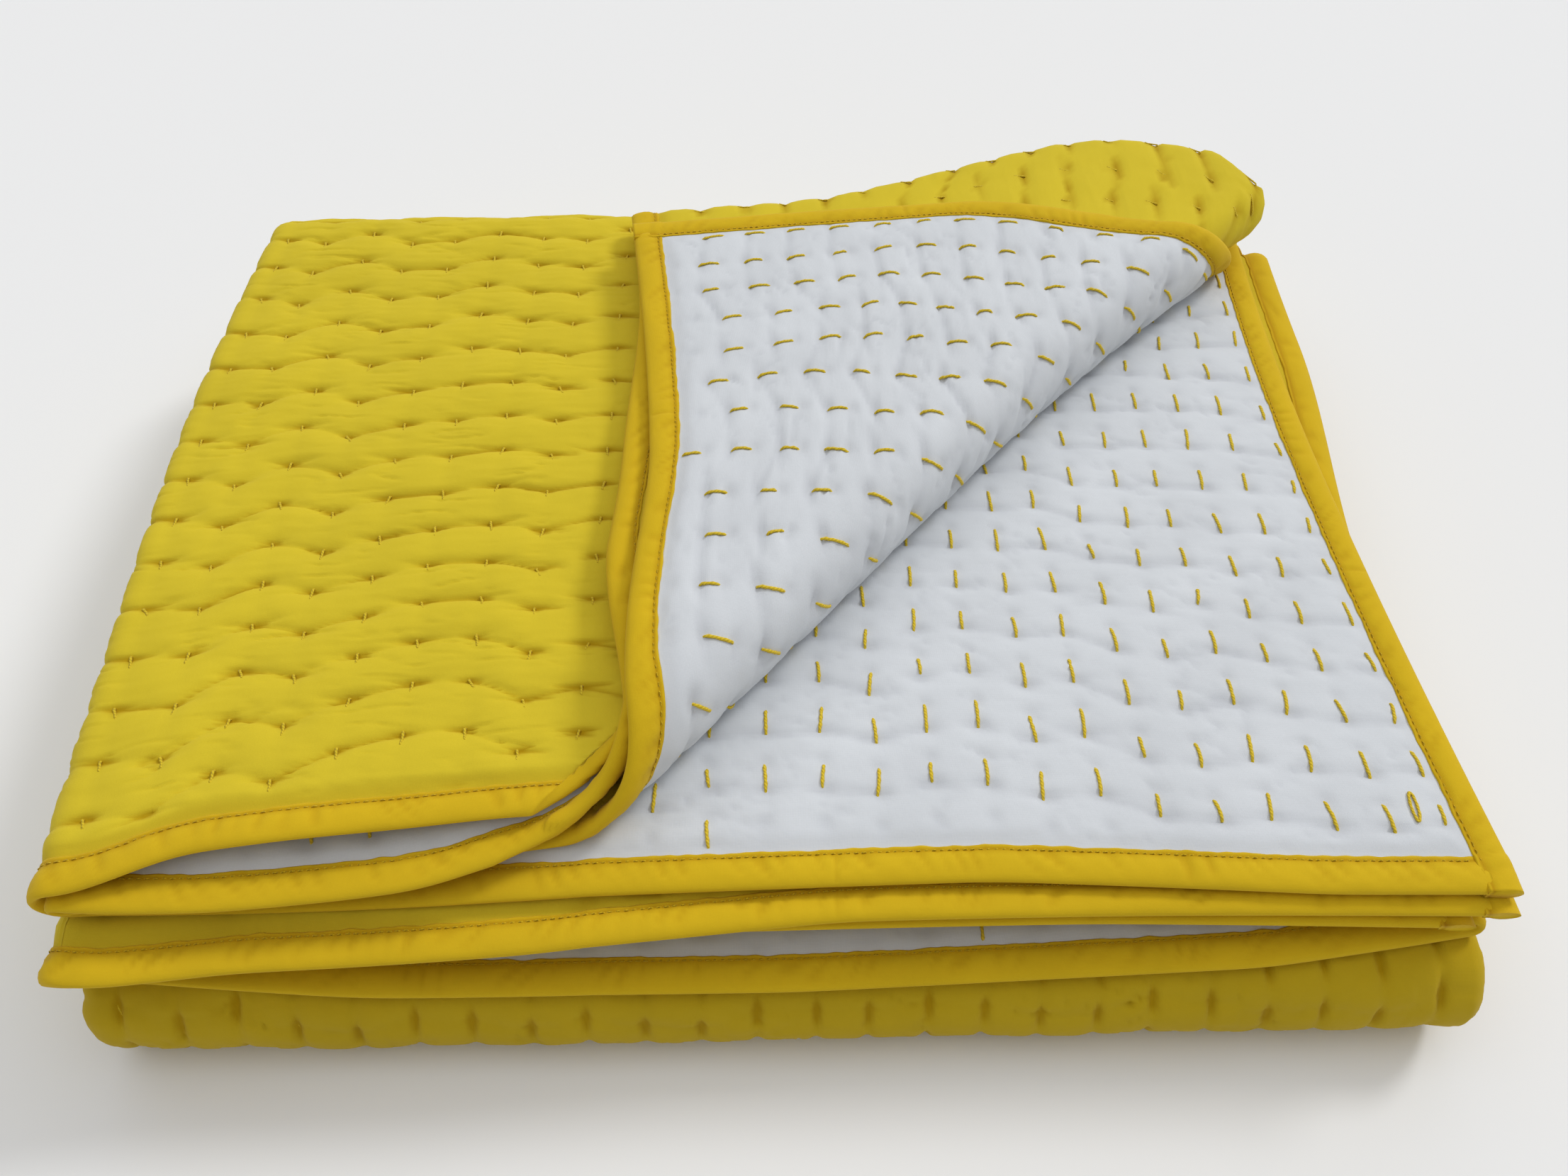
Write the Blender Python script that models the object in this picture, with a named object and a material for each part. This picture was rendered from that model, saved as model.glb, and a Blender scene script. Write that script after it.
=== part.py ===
# A folded running-stitch quilt: one quilted cloth in sixteen layers with a corner turned back, and its edge bindings.
import math

import bmesh
import bpy
import numpy as np

# Lengths are in metres. X runs across the stack, Y from its front to its back, and Z is up.
PLY_PITCH = 0.0068
CLOTH_HALF = 0.0022
EDGE_HALF = 0.0016
STACK_HALF_WIDTH = 0.285
BACK_Y = 0.410
FRONT_Y = -0.014
BACK_SQUASH = 0.6
FLAP_EDGE_X = 0.268
FREE_EDGE_X = 0.2834
RIGHT_TURN_X = 0.2744
ORIGIN_SHIFT = np.array([0.0003, -0.2182, 0.0])

# Heights of the four layers inside a group, and of the four groups in the stack, to their middles.
LAYER_HEIGHT = {1: 1.5 * PLY_PITCH, 2: 0.5 * PLY_PITCH, 3: -0.5 * PLY_PITCH, 4: -1.5 * PLY_PITCH}
GROUP_HEIGHT = {1: 14.0 * PLY_PITCH, 2: 10.0 * PLY_PITCH, 3: 6.0 * PLY_PITCH, 4: 2.0 * PLY_PITCH}
GROUND = 0.5 * PLY_PITCH - CLOTH_HALF
LEFT_TURN_X = LAYER_HEIGHT[1] + CLOTH_HALF - STACK_HALF_WIDTH

# The bindings run along the cloth's edges, a gap away. Their profile is measured outward from the finished edge.
BIND_WIDTH = 0.0120
BIND_GAP = 0.0005
BIND_SEAM_HALF = 0.0017
BIND_CROWN_HALF = 0.0028
BIND_CROWN_AT = 0.0050
BIND_NOSE = 0.0016
BIND_NOSE_HALF = 0.0012
UNDER_BINDING = BIND_WIDTH + BIND_GAP
FULL_FROM = 0.0200

# The turned-back corner rolls over a line in plan, from the front edge to the right edge.
ROLL_START = np.array([-0.112, 0.004])
ROLL_END = np.array([0.2815, 0.418])
ROLL_CORE = 0.0052
ROLL_LIFT = 0.0015
ROLL_LIFT_REACH = 0.04
ROLL_RADIUS = ROLL_CORE + 2.0 * PLY_PITCH
ROLL_BOW = 0.009
ROLL_SWELL = 0.25
FLAP_STRETCH = 0.02
FLAP_SHEAR = 0.05
FLAP_SLIP = 0.017
FLAP_SLIP_REACH = 0.05
FLAP_SLIP_FRONT = 0.16
FLAP_SLIP_FADE = 0.16
ABOVE_BINDING = 0.0030
BETWEEN_LAYERS = 0.0009
WING = 0.077
WING_LEAST = 0.17
WING_FROM_X = 0.02
WING_START_Y = 0.10
WING_RISE = 0.24
WING_END_Y = 0.360
WING_FALL = 0.048
FLAP_SETTLE = 0.22
FLAP_SETTLE_REACH = 0.12
FLAP_PUSH = 0.028
FLAP_PUSH_FROM = -0.20
FLAP_PUSH_WIDTH = 0.40
FLAP_BOW = 0.012
FLAP_BOW_LENGTH = 0.40
FLAP_EASE = 0.09

# Toward the back, the right side of the lower layers stands out past the top group.
LOWER_OUT = 0.020
LOWER_FROM = 0.30
LOWER_RISE = 0.50
LOWER_FADE = 0.60

# Quilting raised in the cloth's faces.
PUFF = 0.0004
PUFF_JITTER = 0.0001

# The cloth's first end, in the top group. Back is how far the edge lies behind the front line.
FIRST_END = (
    # layer, x, back, up
    (3, 0.268, 0.0200, 0.0000),
    (3, -0.060, 0.0190, 0.0000),
    (3, -0.110, 0.0120, 0.0000),
    (3, -0.180, 0.0010, 0.0000),
    (3, -0.268, -0.0100, 0.0000),
    (2, -0.268, -0.0130, 0.0000),
    (2, -0.219, -0.0120, 0.0000),
    (2, -0.140, -0.0050, 0.0000),
    (2, -0.110, 0.0050, 0.0000),
    (2, -0.060, 0.0170, 0.0000),
    (2, 0.274, 0.0200, 0.0000),
    (1, 0.274, 0.0200, 0.0000),
    (1, -0.060, 0.0200, 0.0000),
    (1, -0.110, 0.0190, 0.0002),
    (1, -0.187, 0.0100, 0.0060),
    (1, -0.230, 0.0050, 0.0050),
    (1, -0.268, -0.0100, 0.0000),
    (4, -0.268, -0.0080, 0.0000),
    (4, -0.115, -0.0050, 0.0000),
    (4, 0.078, -0.0030, 0.0000),
    (4, 0.211, -0.0100, 0.0000),
    (4, 0.2834, -0.0100, 0.0000),
)

# The cloth's second end, in the group below.
SECOND_END = (
    # layer, x, back, up
    (3, 0.268, -0.0180, 0.0000),
    (3, 0.120, -0.0150, 0.0000),
    (3, -0.268, -0.0150, 0.0000),
    (2, -0.268, -0.0140, 0.0000),
    (2, -0.100, 0.0060, 0.0000),
    (2, 0.140, 0.0040, 0.0000),
    (2, 0.274, -0.0130, 0.0000),
    (1, 0.274, -0.0160, 0.0000),
    (1, 0.190, -0.0260, 0.0000),
    (1, 0.000, -0.0310, 0.0000),
    (1, -0.170, -0.0300, 0.0000),
    (1, -0.268, -0.0240, 0.0000),
    (4, -0.268, -0.0350, 0.0000),
    (4, -0.211, -0.0280, 0.0000),
    (4, -0.100, -0.0240, 0.0000),
    (4, 0.019, -0.0150, 0.0000),
    (4, 0.140, -0.0150, 0.0000),
    (4, 0.2834, -0.0160, 0.0000),
)
END_LIFT_REACH = 0.16

# Two open mouths at the front, each between two layers: everything under one is pressed down by its drop.
MOUTHS = (
    # height, drop, left end, right end
    (15.0 * PLY_PITCH - GROUND, 0.0045, -0.262, -0.080),
    (9.0 * PLY_PITCH - GROUND, 0.0095, -0.250, 0.262),
)
MOUTH_REACH = 0.14
END_LENGTH = BACK_Y

# How many cells the cloth has. Fine cells lie in the top group, where the corner rolls over.
ROLL_FROM_X = -0.125
FINE_CELLS = {1: (7, 17), 2: (2, 17), 3: (2, 17), 4: (3, 7)}
COARSE_CELLS = {1: (3, 5), 2: (2, 3), 3: (2, 3), 4: (3, 4)}
TURN_CELLS = 4
CROWDED = 0.006
TOP_CELLS = 15
COARSE_ROWS = ((1, 5), (2, 2), (3, 5), (4, 2), (5, 5), (6, 3))

YELLOW = (0.80, 0.58, 0.02, 1.0)
BINDING_YELLOW = (0.82, 0.55, 0.01, 1.0)


def smooth(t):
    """A ramp from 0 to 1 with flat ends."""
    t = np.clip(t, 0.0, 1.0)
    return t * t * (3.0 - 2.0 * t)


# Each column of the cloth is x, height in the group, and the yellow side's direction in x and height.
def flat_columns(layer, stations, up):
    height = LAYER_HEIGHT[layer]
    return [(x, height, 0.0, up) for x in stations]


def turn_columns(x, height, radius, start, sweep, side):
    found = []
    for k in range(1, TURN_CELLS):
        angle = start + sweep * k / TURN_CELLS
        out_x = math.cos(angle)
        out_h = math.sin(angle)
        found.append((x + radius * out_x, height + radius * out_h, side * out_x, side * out_h))
    return found


def stations(right, cells, bound):
    near = np.linspace(LEFT_TURN_X, ROLL_FROM_X, cells[0] + 1)
    far = np.linspace(ROLL_FROM_X, RIGHT_TURN_X, cells[1] + 1)
    bound_at = right if bound else FLAP_EDGE_X
    close = [bound_at - FULL_FROM, bound_at - UNDER_BINDING]
    far = list(far[far < close[0] - CROWDED]) + close
    if not bound:
        far += [bound_at - BIND_CROWN_AT, right]
    return list(near[:-1]) + far


def make_columns(cells):
    """Layers 3, 2, 1 and 4 in turn, joined by a turn at the left, one at the right and one at the left."""
    quarter = 0.5 * math.pi
    columns = flat_columns(3, stations(FLAP_EDGE_X, cells[3], True)[::-1], 1.0)
    columns += turn_columns(LEFT_TURN_X, 0.0, 0.5 * PLY_PITCH, -quarter, -math.pi, -1.0)
    columns += flat_columns(2, stations(RIGHT_TURN_X, cells[2], False), -1.0)
    columns += turn_columns(RIGHT_TURN_X, PLY_PITCH, 0.5 * PLY_PITCH, -quarter, math.pi, 1.0)
    columns += flat_columns(1, stations(RIGHT_TURN_X, cells[1], False)[::-1], 1.0)
    columns += turn_columns(LEFT_TURN_X, 0.0, 1.5 * PLY_PITCH, quarter, math.pi, 1.0)
    columns += flat_columns(4, stations(FREE_EDGE_X, cells[4], True), -1.0)
    return np.array(columns)


LENGTH_3 = FLAP_EDGE_X - LEFT_TURN_X
LENGTH_2 = RIGHT_TURN_X - LEFT_TURN_X
TURN_SMALL = 0.5 * math.pi * PLY_PITCH
TURN_LARGE = 1.5 * math.pi * PLY_PITCH
START_2 = LENGTH_3 + TURN_SMALL
START_1 = START_2 + LENGTH_2 + TURN_SMALL
START_4 = START_1 + LENGTH_2 + TURN_LARGE


def place_across(layer, x):
    """How far across the open cloth a place in a layer lies."""
    if layer == 3:
        return FLAP_EDGE_X - x
    if layer == 2:
        return START_2 + x - LEFT_TURN_X
    if layer == 1:
        return START_1 + RIGHT_TURN_X - x
    return START_4 + x - LEFT_TURN_X


def across(columns):
    """The same for every column, turns included."""
    steps = np.diff(columns[:, :2], axis=0)
    return UNDER_BINDING + np.concatenate([[0.0], np.cumsum(np.hypot(steps[:, 0], steps[:, 1]))])


def matched(u, last):
    """The same lengths for coarse columns, whose turns have shorter chords, as for fine ones."""
    return u[0] + (u - u[0]) * (last - u[0]) / (u[-1] - u[0])


def end_curve(table):
    places = np.array([place_across(layer, x) for layer, x, back, up in table])
    return places, np.array([row[2] for row in table]), np.array([row[3] for row in table])


# Each row of the cloth is its stretch (0 to 6 from the first end to the second) and how far along it is, from 0 to 1.
def make_top_rows():
    inside = np.linspace(FULL_FROM / END_LENGTH, 1.0, TOP_CELLS + 1)
    return [(0, f) for f in [UNDER_BINDING / END_LENGTH] + list(inside)]


def make_coarse_rows():
    found = []
    for stretch, cells in COARSE_ROWS[:-1]:
        found += [(stretch, (k + 1) / cells) for k in range(cells)]
    stretch, cells = COARSE_ROWS[-1]
    last = 1.0 - FULL_FROM / END_LENGTH
    found += [(stretch, last * (k + 1) / cells) for k in range(cells)]
    return found + [(stretch, 1.0 - UNDER_BINDING / END_LENGTH)]


def above_third_layer(h):
    """From 0 in the third layer to 1 in the two above it."""
    return smooth((h - LAYER_HEIGHT[3] - ABOVE_BINDING) / BETWEEN_LAYERS)


def widen_wing(x, y, h):
    """Moves the fold between the two upper layers outward near the back, so that it shows past the edge below."""
    outward = smooth((x - WING_FROM_X) / (RIGHT_TURN_X - WING_FROM_X))
    rising = WING_LEAST + (1.0 - WING_LEAST) * smooth((y - WING_START_Y) / WING_RISE)
    along = rising * (1.0 - smooth((y - WING_END_Y) / WING_FALL))
    return x + WING * outward * along * above_third_layer(h)


def roll_corner(x, y, h):
    """Rolls the layers over the roll line. It takes and returns plan places and heights in the top group."""
    run = ROLL_END - ROLL_START
    length = float(np.hypot(run[0], run[1]))
    along = run / length
    out = np.array([along[1], -along[0]])
    far_x = x - ROLL_START[0]
    far_y = y - ROLL_START[1]
    tau = far_x * along[0] + far_y * along[1]
    bow = ROLL_BOW * np.sin(math.pi * np.clip(tau / length, 0.0, 1.0))
    s = far_x * out[0] + far_y * out[1] + bow
    past = np.maximum(s, 0.0)
    turn = np.minimum(past / ROLL_RADIUS, math.pi)
    flat = np.maximum(past - math.pi * ROLL_RADIUS, 0.0)
    deep = LAYER_HEIGHT[1] - h
    lift = ROLL_LIFT * smooth(1.0 + s / ROLL_LIFT_REACH) * above_third_layer(h)
    radius = ROLL_CORE - lift + deep + ROLL_SWELL * smooth(turn / 0.8) * np.maximum(deep, 0.0)
    reach = radius * np.sin(turn) - flat * (1.0 + FLAP_STRETCH)
    slide = FLAP_SHEAR * (0.5 * (np.minimum(past, math.pi * ROLL_RADIUS) - ROLL_RADIUS * np.sin(turn)) + flat)
    plain_y = y - past * out[1] + reach * out[1]
    frontal = 1.0 - smooth((plain_y - FLAP_SLIP_FRONT) / FLAP_SLIP_FADE)
    slip = FLAP_SLIP * smooth(flat / FLAP_SLIP_REACH) * frontal * above_third_layer(h)
    new_x = x - past * out[0] + (reach - slip) * out[0] + slide * along[0]
    new_y = y - past * out[1] + (reach - slip) * out[1] + slide * along[1]
    settle = 1.0 - FLAP_SETTLE * smooth(flat / FLAP_SETTLE_REACH)
    rise = ROLL_CORE - radius * np.cos(turn)
    bed = 2.0 * ROLL_CORE - ROLL_LIFT
    raised = np.where((flat > 0.0) & (rise > bed), bed + (rise - bed) * settle, rise)
    eased = smooth(flat / FLAP_EASE)
    push = FLAP_PUSH * smooth((new_x - FLAP_PUSH_FROM) / FLAP_PUSH_WIDTH)
    side = FLAP_BOW * np.sin(math.pi * np.clip(new_y / FLAP_BOW_LENGTH, 0.0, 1.0))
    new_x = np.where(s > 0.0, new_x + eased * side, x)
    new_y = np.where(s > 0.0, new_y + eased * push, y)
    new_h = np.where(s > 0.0, LAYER_HEIGHT[1] + raised, h + lift)
    return new_x, new_y, new_h


def open_mouths(x, y, z):
    """Presses down everything under each mouth near the front."""
    for height, drop, left, right in MOUTHS:
        inside = np.clip((x - left) / (right - left), 0.0, 1.0)
        near = 1.0 - np.clip((y - FRONT_Y) / MOUTH_REACH, 0.0, 1.0)
        amount = drop * np.sin(math.pi * inside) ** 0.8 * smooth(near)
        z = np.where(z < height, z * (1.0 - amount / height), z)
    return z


def soften(x, y, z):
    """Gives the whole stack uneven sides: it keeps level planes level at the ground and layers in their order."""
    depth = np.clip(y / BACK_Y, 0.0, 1.1)
    left = smooth(-x / STACK_HALF_WIDTH)
    right = smooth(x / STACK_HALF_WIDTH)
    lean = np.clip(z / GROUP_HEIGHT[1], 0.0, 1.2)
    belly = np.sin(math.pi * np.clip(depth, 0.0, 1.0)) * lean
    new_x = x - left * (0.003 + 0.016 * depth * lean + 0.008 * belly) - right * 0.012 * belly
    new_x += 0.0012 * np.sin(15.0 * y + 6.0 * lean) * (left + right)
    new_y = y + 0.0020 * np.sin(8.0 * x + 0.6) * lean
    height = 0.012 * np.sin(8.0 * x + 0.4) * np.sin(7.0 * y + 0.5) + 0.004 * np.sin(12.0 * x - 9.0 * y)
    return new_x, new_y, z * (1.0 + height)


def lower_slide(x, y, stretch, part):
    """How far the layers under the top group slide to the right: it grows along the outer back bend."""
    below = np.where(stretch == 0, 0.0, np.where(stretch == 1, smooth(part / LOWER_FADE), 1.0))
    toward_back = smooth((y / BACK_Y - LOWER_FROM) / LOWER_RISE)
    return LOWER_OUT * below * toward_back * smooth(x / STACK_HALF_WIDTH)


def place_points(columns, u, rows, off):
    """Places points of the cloth. Columns, u, rows and off match or broadcast as rows by columns."""
    x = columns[..., 0] + off * columns[..., 2]
    h = columns[..., 1] + off * columns[..., 3]
    stretch = rows[..., 0]
    part = rows[..., 1]
    first_u, first_back, first_up = end_curve(FIRST_END)
    second_u, second_back, second_up = end_curve(SECOND_END)
    y_1 = np.interp(u, first_u, first_back)
    y_2 = np.interp(u, second_u, second_back)
    x, h, stretch, part, u, y_1, y_2 = np.broadcast_arrays(x, h, stretch, part, u, y_1, y_2)
    mean_bend = 8.0 * PLY_PITCH
    angle = math.pi * part
    r_outer = 6.0 * PLY_PITCH + h
    r_front = 2.0 * PLY_PITCH + h
    r_inner = 2.0 * PLY_PITCH - h
    back_1 = y_1 + part * (BACK_Y - y_1)
    back_2 = BACK_Y + part * (y_2 - BACK_Y)
    flap_x, flap_y, flap_h = roll_corner(widen_wing(x, back_1, h), back_1, h)
    held = h > -PLY_PITCH
    top_x = np.where(held, flap_x, x)
    top_y = np.where(held, flap_y, back_1)
    top_h = np.where(held, flap_h, h)
    up_1 = np.interp(u, first_u, first_up) * (1.0 - np.clip((back_1 - y_1) / END_LIFT_REACH, 0.0, 1.0)) ** 2
    up_2 = np.interp(u, second_u, second_up) * (1.0 - np.clip((back_2 - y_2) / END_LIFT_REACH, 0.0, 1.0)) ** 2
    level = BACK_Y + part * (FRONT_Y - BACK_Y)
    risen = FRONT_Y + part * (BACK_Y - FRONT_Y)
    choices_y = [
        top_y,
        BACK_Y + BACK_SQUASH * r_outer * np.sin(angle),
        level,
        FRONT_Y - r_front * np.sin(angle),
        risen,
        BACK_Y + BACK_SQUASH * r_inner * np.sin(angle),
        back_2,
    ]
    choices_z = [
        GROUP_HEIGHT[1] + top_h + up_1,
        mean_bend + r_outer * np.cos(angle),
        GROUP_HEIGHT[4] - h,
        4.0 * PLY_PITCH - r_front * np.cos(angle),
        GROUP_HEIGHT[3] + h,
        mean_bend - r_inner * np.cos(angle),
        GROUP_HEIGHT[2] - h + up_2,
    ]
    stretch = stretch.astype(int)
    y = np.choose(stretch, choices_y)
    z = np.choose(stretch, choices_z) - GROUND
    x = np.where(stretch == 0, top_x, x)
    z = open_mouths(x, y, z)
    x, y, z = soften(x, y, z)
    x = x + lower_slide(x, y, stretch, part)
    return np.stack([x, y, z], axis=-1) + ORIGIN_SHIFT


class Surface:
    """Collects points with their place on the open cloth, and faces split along the roll's direction."""

    def __init__(self):
        self.points = []
        self.open_places = []
        self.triangles = []

    def add(self, points, open_places):
        start = len(self.points)
        flat = points.reshape(-1, 3)
        self.points += [tuple(p) for p in flat]
        self.open_places += [tuple(p) for p in open_places.reshape(-1, 2)]
        return np.arange(start, start + len(flat)).reshape(points.shape[:-1])

    def quad(self, a, b, c, d):
        places = self.open_places
        ac = abs(places[c][0] - places[a][0] + places[c][1] - places[a][1])
        bd = abs(places[d][0] - places[b][0] + places[d][1] - places[b][1])
        if ac >= bd:
            self.triangles += [(a, b, c), (a, c, d)]
        else:
            self.triangles += [(a, b, d), (b, c, d)]

    def grid(self, ids, flip):
        for j in range(ids.shape[0] - 1):
            for i in range(ids.shape[1] - 1):
                corners = (ids[j, i], ids[j, i + 1], ids[j + 1, i + 1], ids[j + 1, i])
                self.quad(*(corners[::-1] if flip else corners))

    def join_rows(self, first, first_u, second, second_u, flip):
        """Triangles between two rows with different numbers of points."""
        i = 0
        j = 0
        while i < len(first) - 1 or j < len(second) - 1:
            take_first = j == len(second) - 1 or (i < len(first) - 1 and first_u[i + 1] <= second_u[j + 1])
            if take_first:
                made = (first[i], first[i + 1], second[j])
                i += 1
            else:
                made = (first[i], second[j + 1], second[j])
                j += 1
            self.triangles.append(made[::-1] if flip else made)

    def mesh_object(self, name, material):
        """One closed mesh, turned to face outward."""
        mesh = bpy.data.meshes.new(name)
        mesh.from_pydata(self.points, [], [[int(k) for k in face] for face in self.triangles])
        shell = bmesh.new()
        shell.from_mesh(mesh)
        bmesh.ops.recalc_face_normals(shell, faces=shell.faces[:])
        if shell.calc_volume(signed=True) < 0.0:
            bmesh.ops.reverse_faces(shell, faces=shell.faces[:])
        shell.to_mesh(mesh)
        shell.free()
        mesh.materials.append(material)
        mesh.polygons.foreach_set("use_smooth", [True] * len(mesh.polygons))
        mesh.update()
        obj = bpy.data.objects.new(name, mesh)
        bpy.context.scene.collection.objects.link(obj)
        return obj


def open_places(columns, rows):
    x = np.broadcast_to(columns[None, :, 0], (len(rows), len(columns)))
    v = np.broadcast_to(rows[:, None, 0] * END_LENGTH + rows[:, None, 1] * END_LENGTH, x.shape)
    return np.stack([x, v], axis=-1)


def half_thickness(columns, u, rows):
    """Half the cloth's thickness: pinched at the bindings' seams, full elsewhere, with quilting raised in it."""
    side = np.minimum(u - u[0], u[-1] - u)[None, :]
    v = rows[:, 0] + rows[:, 1]
    end = END_LENGTH * np.minimum(v, 7.0 - v)[:, None] - UNDER_BINDING
    rise = FULL_FROM - UNDER_BINDING
    full = np.minimum(smooth(side / rise), smooth(end / rise))
    ridge = np.where(np.arange(len(rows)) % 2 == 0, -1.0, 1.0)[:, None]
    column = np.arange(len(u))[None, :]
    row = np.arange(len(rows))[:, None]
    jitter = np.sin(12.9 * column + 78.2 * row) * np.sin(4.1 * column - 9.7 * row)
    puff = PUFF * ridge + PUFF_JITTER * jitter
    resting = ((rows[:, 0] == 2) | ((rows[:, 0] == 3) & (rows[:, 1] < 0.2)))[:, None]
    low = resting | ((rows[:, 0] == 1) & (rows[:, 1] > 0.9))[:, None]
    puff = np.where(low, 0.0, puff)
    return EDGE_HALF + full * (CLOTH_HALF - EDGE_HALF + puff)


def build_cloth(material):
    """The quilted cloth: its yellow face, its white back and the four walls at its edges."""
    body = Surface()
    fine = make_columns(FINE_CELLS)
    coarse = make_columns(COARSE_CELLS)
    fine_u = across(fine)
    coarse_u = matched(across(coarse), fine_u[-1])
    top_rows = np.array(make_top_rows())
    coarse_rows = np.array(make_coarse_rows())
    half_top = half_thickness(fine, fine_u, top_rows)
    half_coarse = half_thickness(coarse, coarse_u, coarse_rows)
    sides = []
    for side in (1.0, -1.0):
        top = place_points(fine[None], fine_u[None], top_rows[:, None], side * half_top)
        rest = place_points(coarse[None], coarse_u[None], coarse_rows[:, None], side * half_coarse)
        top_ids = body.add(top, open_places(fine, top_rows))
        rest_ids = body.add(rest, open_places(coarse, coarse_rows))
        flip = side < 0.0
        body.grid(top_ids, flip)
        body.join_rows(top_ids[-1], fine_u, rest_ids[0], coarse_u, flip)
        body.grid(rest_ids, flip)
        sides.append((top_ids, rest_ids))
    (top_a, rest_a), (top_b, rest_b) = sides
    rims = [
        (list(top_a[0]), list(top_b[0]), True),
        (list(rest_a[-1]), list(rest_b[-1]), False),
        (list(top_a[:, 0]) + list(rest_a[:, 0]), list(top_b[:, 0]) + list(rest_b[:, 0]), False),
        (list(top_a[:, -1]) + list(rest_a[:, -1]), list(top_b[:, -1]) + list(rest_b[:, -1]), True),
    ]
    for upper, lower, flip in rims:
        for k in range(len(upper) - 1):
            corners = (upper[k], upper[k + 1], lower[k + 1], lower[k])
            body.quad(*(corners[::-1] if flip else corners))
    return body.mesh_object("quilt_body", material)


# The binding's profile: how far past the finished edge, and the height over the cloth's middle.
PROFILE = (
    (-BIND_WIDTH, BIND_SEAM_HALF),
    (-BIND_CROWN_AT, BIND_CROWN_HALF),
    (BIND_NOSE, BIND_NOSE_HALF),
    (BIND_NOSE, -BIND_NOSE_HALF),
    (-BIND_CROWN_AT, -BIND_CROWN_HALF),
    (-BIND_WIDTH, -BIND_SEAM_HALF),
)


def sweep_profile(surface, points, open_places):
    """A closed strip: the profile at every station, with flat ends."""
    ring = surface.add(points, open_places)
    ring = np.concatenate([ring, ring[:, :1]], axis=1)
    surface.grid(ring, False)
    for end in (ring[0], ring[-1]):
        surface.quad(end[0], end[1], end[4], end[5])
        surface.quad(end[1], end[2], end[3], end[4])


def build_side_binding(name, layer, material):
    """A binding along one of the cloth's two long free edges, round every fold."""
    strip = Surface()
    edge_x = FLAP_EDGE_X if layer == 3 else FREE_EDGE_X
    up = 1.0 if layer == 3 else -1.0
    end_u = 0.0 if layer == 3 else START_4 + FREE_EDGE_X - LEFT_TURN_X
    rows = [(0, -BIND_NOSE / END_LENGTH)] + make_top_rows() + make_coarse_rows()
    rows = np.array(rows + [(6, 1.0 + BIND_NOSE / END_LENGTH)])
    columns = np.array([(edge_x + past, LAYER_HEIGHT[layer], 0.0, up) for past, half in PROFILE])
    off = np.array([half for past, half in PROFILE])
    u = np.full(len(PROFILE), end_u)
    points = place_points(columns[None], u[None], rows[:, None], off[None])
    sweep_profile(strip, points, open_places(columns, rows))
    return strip.mesh_object(name, material)


def build_end_binding(name, second, material):
    """A binding along the cloth's first or second end, between the side bindings."""
    strip = Surface()
    fine = make_columns(FINE_CELLS)
    columns = make_columns(COARSE_CELLS) if second else fine
    u = matched(across(columns), across(fine)[-1])
    past = np.array([past for past, half in PROFILE])
    part = 1.0 + past / END_LENGTH if second else -past / END_LENGTH
    rows = np.stack([np.full(len(PROFILE), 6.0 if second else 0.0), part], axis=-1)
    off = np.array([half for past, half in PROFILE])
    points = place_points(columns[:, None], u[:, None], rows[None], off[None])
    x = np.broadcast_to(columns[:, None, 0], points.shape[:-1])
    v = np.broadcast_to((rows[None, :, 0] + rows[None, :, 1]) * END_LENGTH, points.shape[:-1])
    sweep_profile(strip, points, np.stack([x, v], axis=-1))
    return strip.mesh_object(name, material)


def plain_material(name, colour, roughness):
    material = bpy.data.materials.new(name)
    material.use_nodes = True
    shader = material.node_tree.nodes["Principled BSDF"]
    shader.inputs["Base Color"].default_value = colour
    shader.inputs["Roughness"].default_value = roughness
    shader.inputs["Metallic"].default_value = 0.0
    return material


def main():
    for obj in list(bpy.data.objects):
        bpy.data.objects.remove(obj, do_unlink=True)
    cloth = plain_material("quilted_cotton", YELLOW, 0.9)
    trim = plain_material("binding_cotton", BINDING_YELLOW, 0.85)
    build_cloth(cloth)
    build_side_binding("flap_side_binding", 3, trim)
    build_side_binding("free_side_binding", 4, trim)
    build_end_binding("first_end_binding", False, trim)
    build_end_binding("second_end_binding", True, trim)


main()
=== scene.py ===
"""Looks of a folded running-stitch quilt: cloth faces, edge bindings, stitches, floor, light and camera."""

from __future__ import annotations

import logging
import math
from dataclasses import dataclass, field
from enum import Enum

import bpy
import numpy as np
from mathutils import Matrix

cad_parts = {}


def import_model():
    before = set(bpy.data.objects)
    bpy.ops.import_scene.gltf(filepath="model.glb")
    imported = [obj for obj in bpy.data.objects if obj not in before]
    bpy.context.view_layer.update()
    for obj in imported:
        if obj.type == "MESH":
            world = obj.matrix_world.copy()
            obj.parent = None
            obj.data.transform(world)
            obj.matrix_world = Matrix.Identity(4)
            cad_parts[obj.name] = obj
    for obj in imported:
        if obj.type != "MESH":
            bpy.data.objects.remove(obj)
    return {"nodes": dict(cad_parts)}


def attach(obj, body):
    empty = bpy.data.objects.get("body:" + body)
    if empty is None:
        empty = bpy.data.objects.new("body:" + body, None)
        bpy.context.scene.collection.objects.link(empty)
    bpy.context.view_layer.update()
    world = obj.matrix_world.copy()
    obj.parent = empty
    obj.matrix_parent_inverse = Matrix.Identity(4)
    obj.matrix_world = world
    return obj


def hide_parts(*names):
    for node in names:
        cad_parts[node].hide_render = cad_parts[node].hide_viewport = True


LOG = logging.getLogger("quilt")
BODY = "root"
TINY = 1e-6

Array = np.ndarray
Piece = bpy.types.Object
Material = bpy.types.Material
Zone = tuple[float, float, float]
Colour = tuple[float, float, float]
Arrays = tuple[Array, ...]
Names = tuple[str, ...]


class Side(Enum):
    """The two cloth faces, with the sign of their distance from the cloth's middle."""

    YELLOW = 1.0
    WHITE = -1.0


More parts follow.
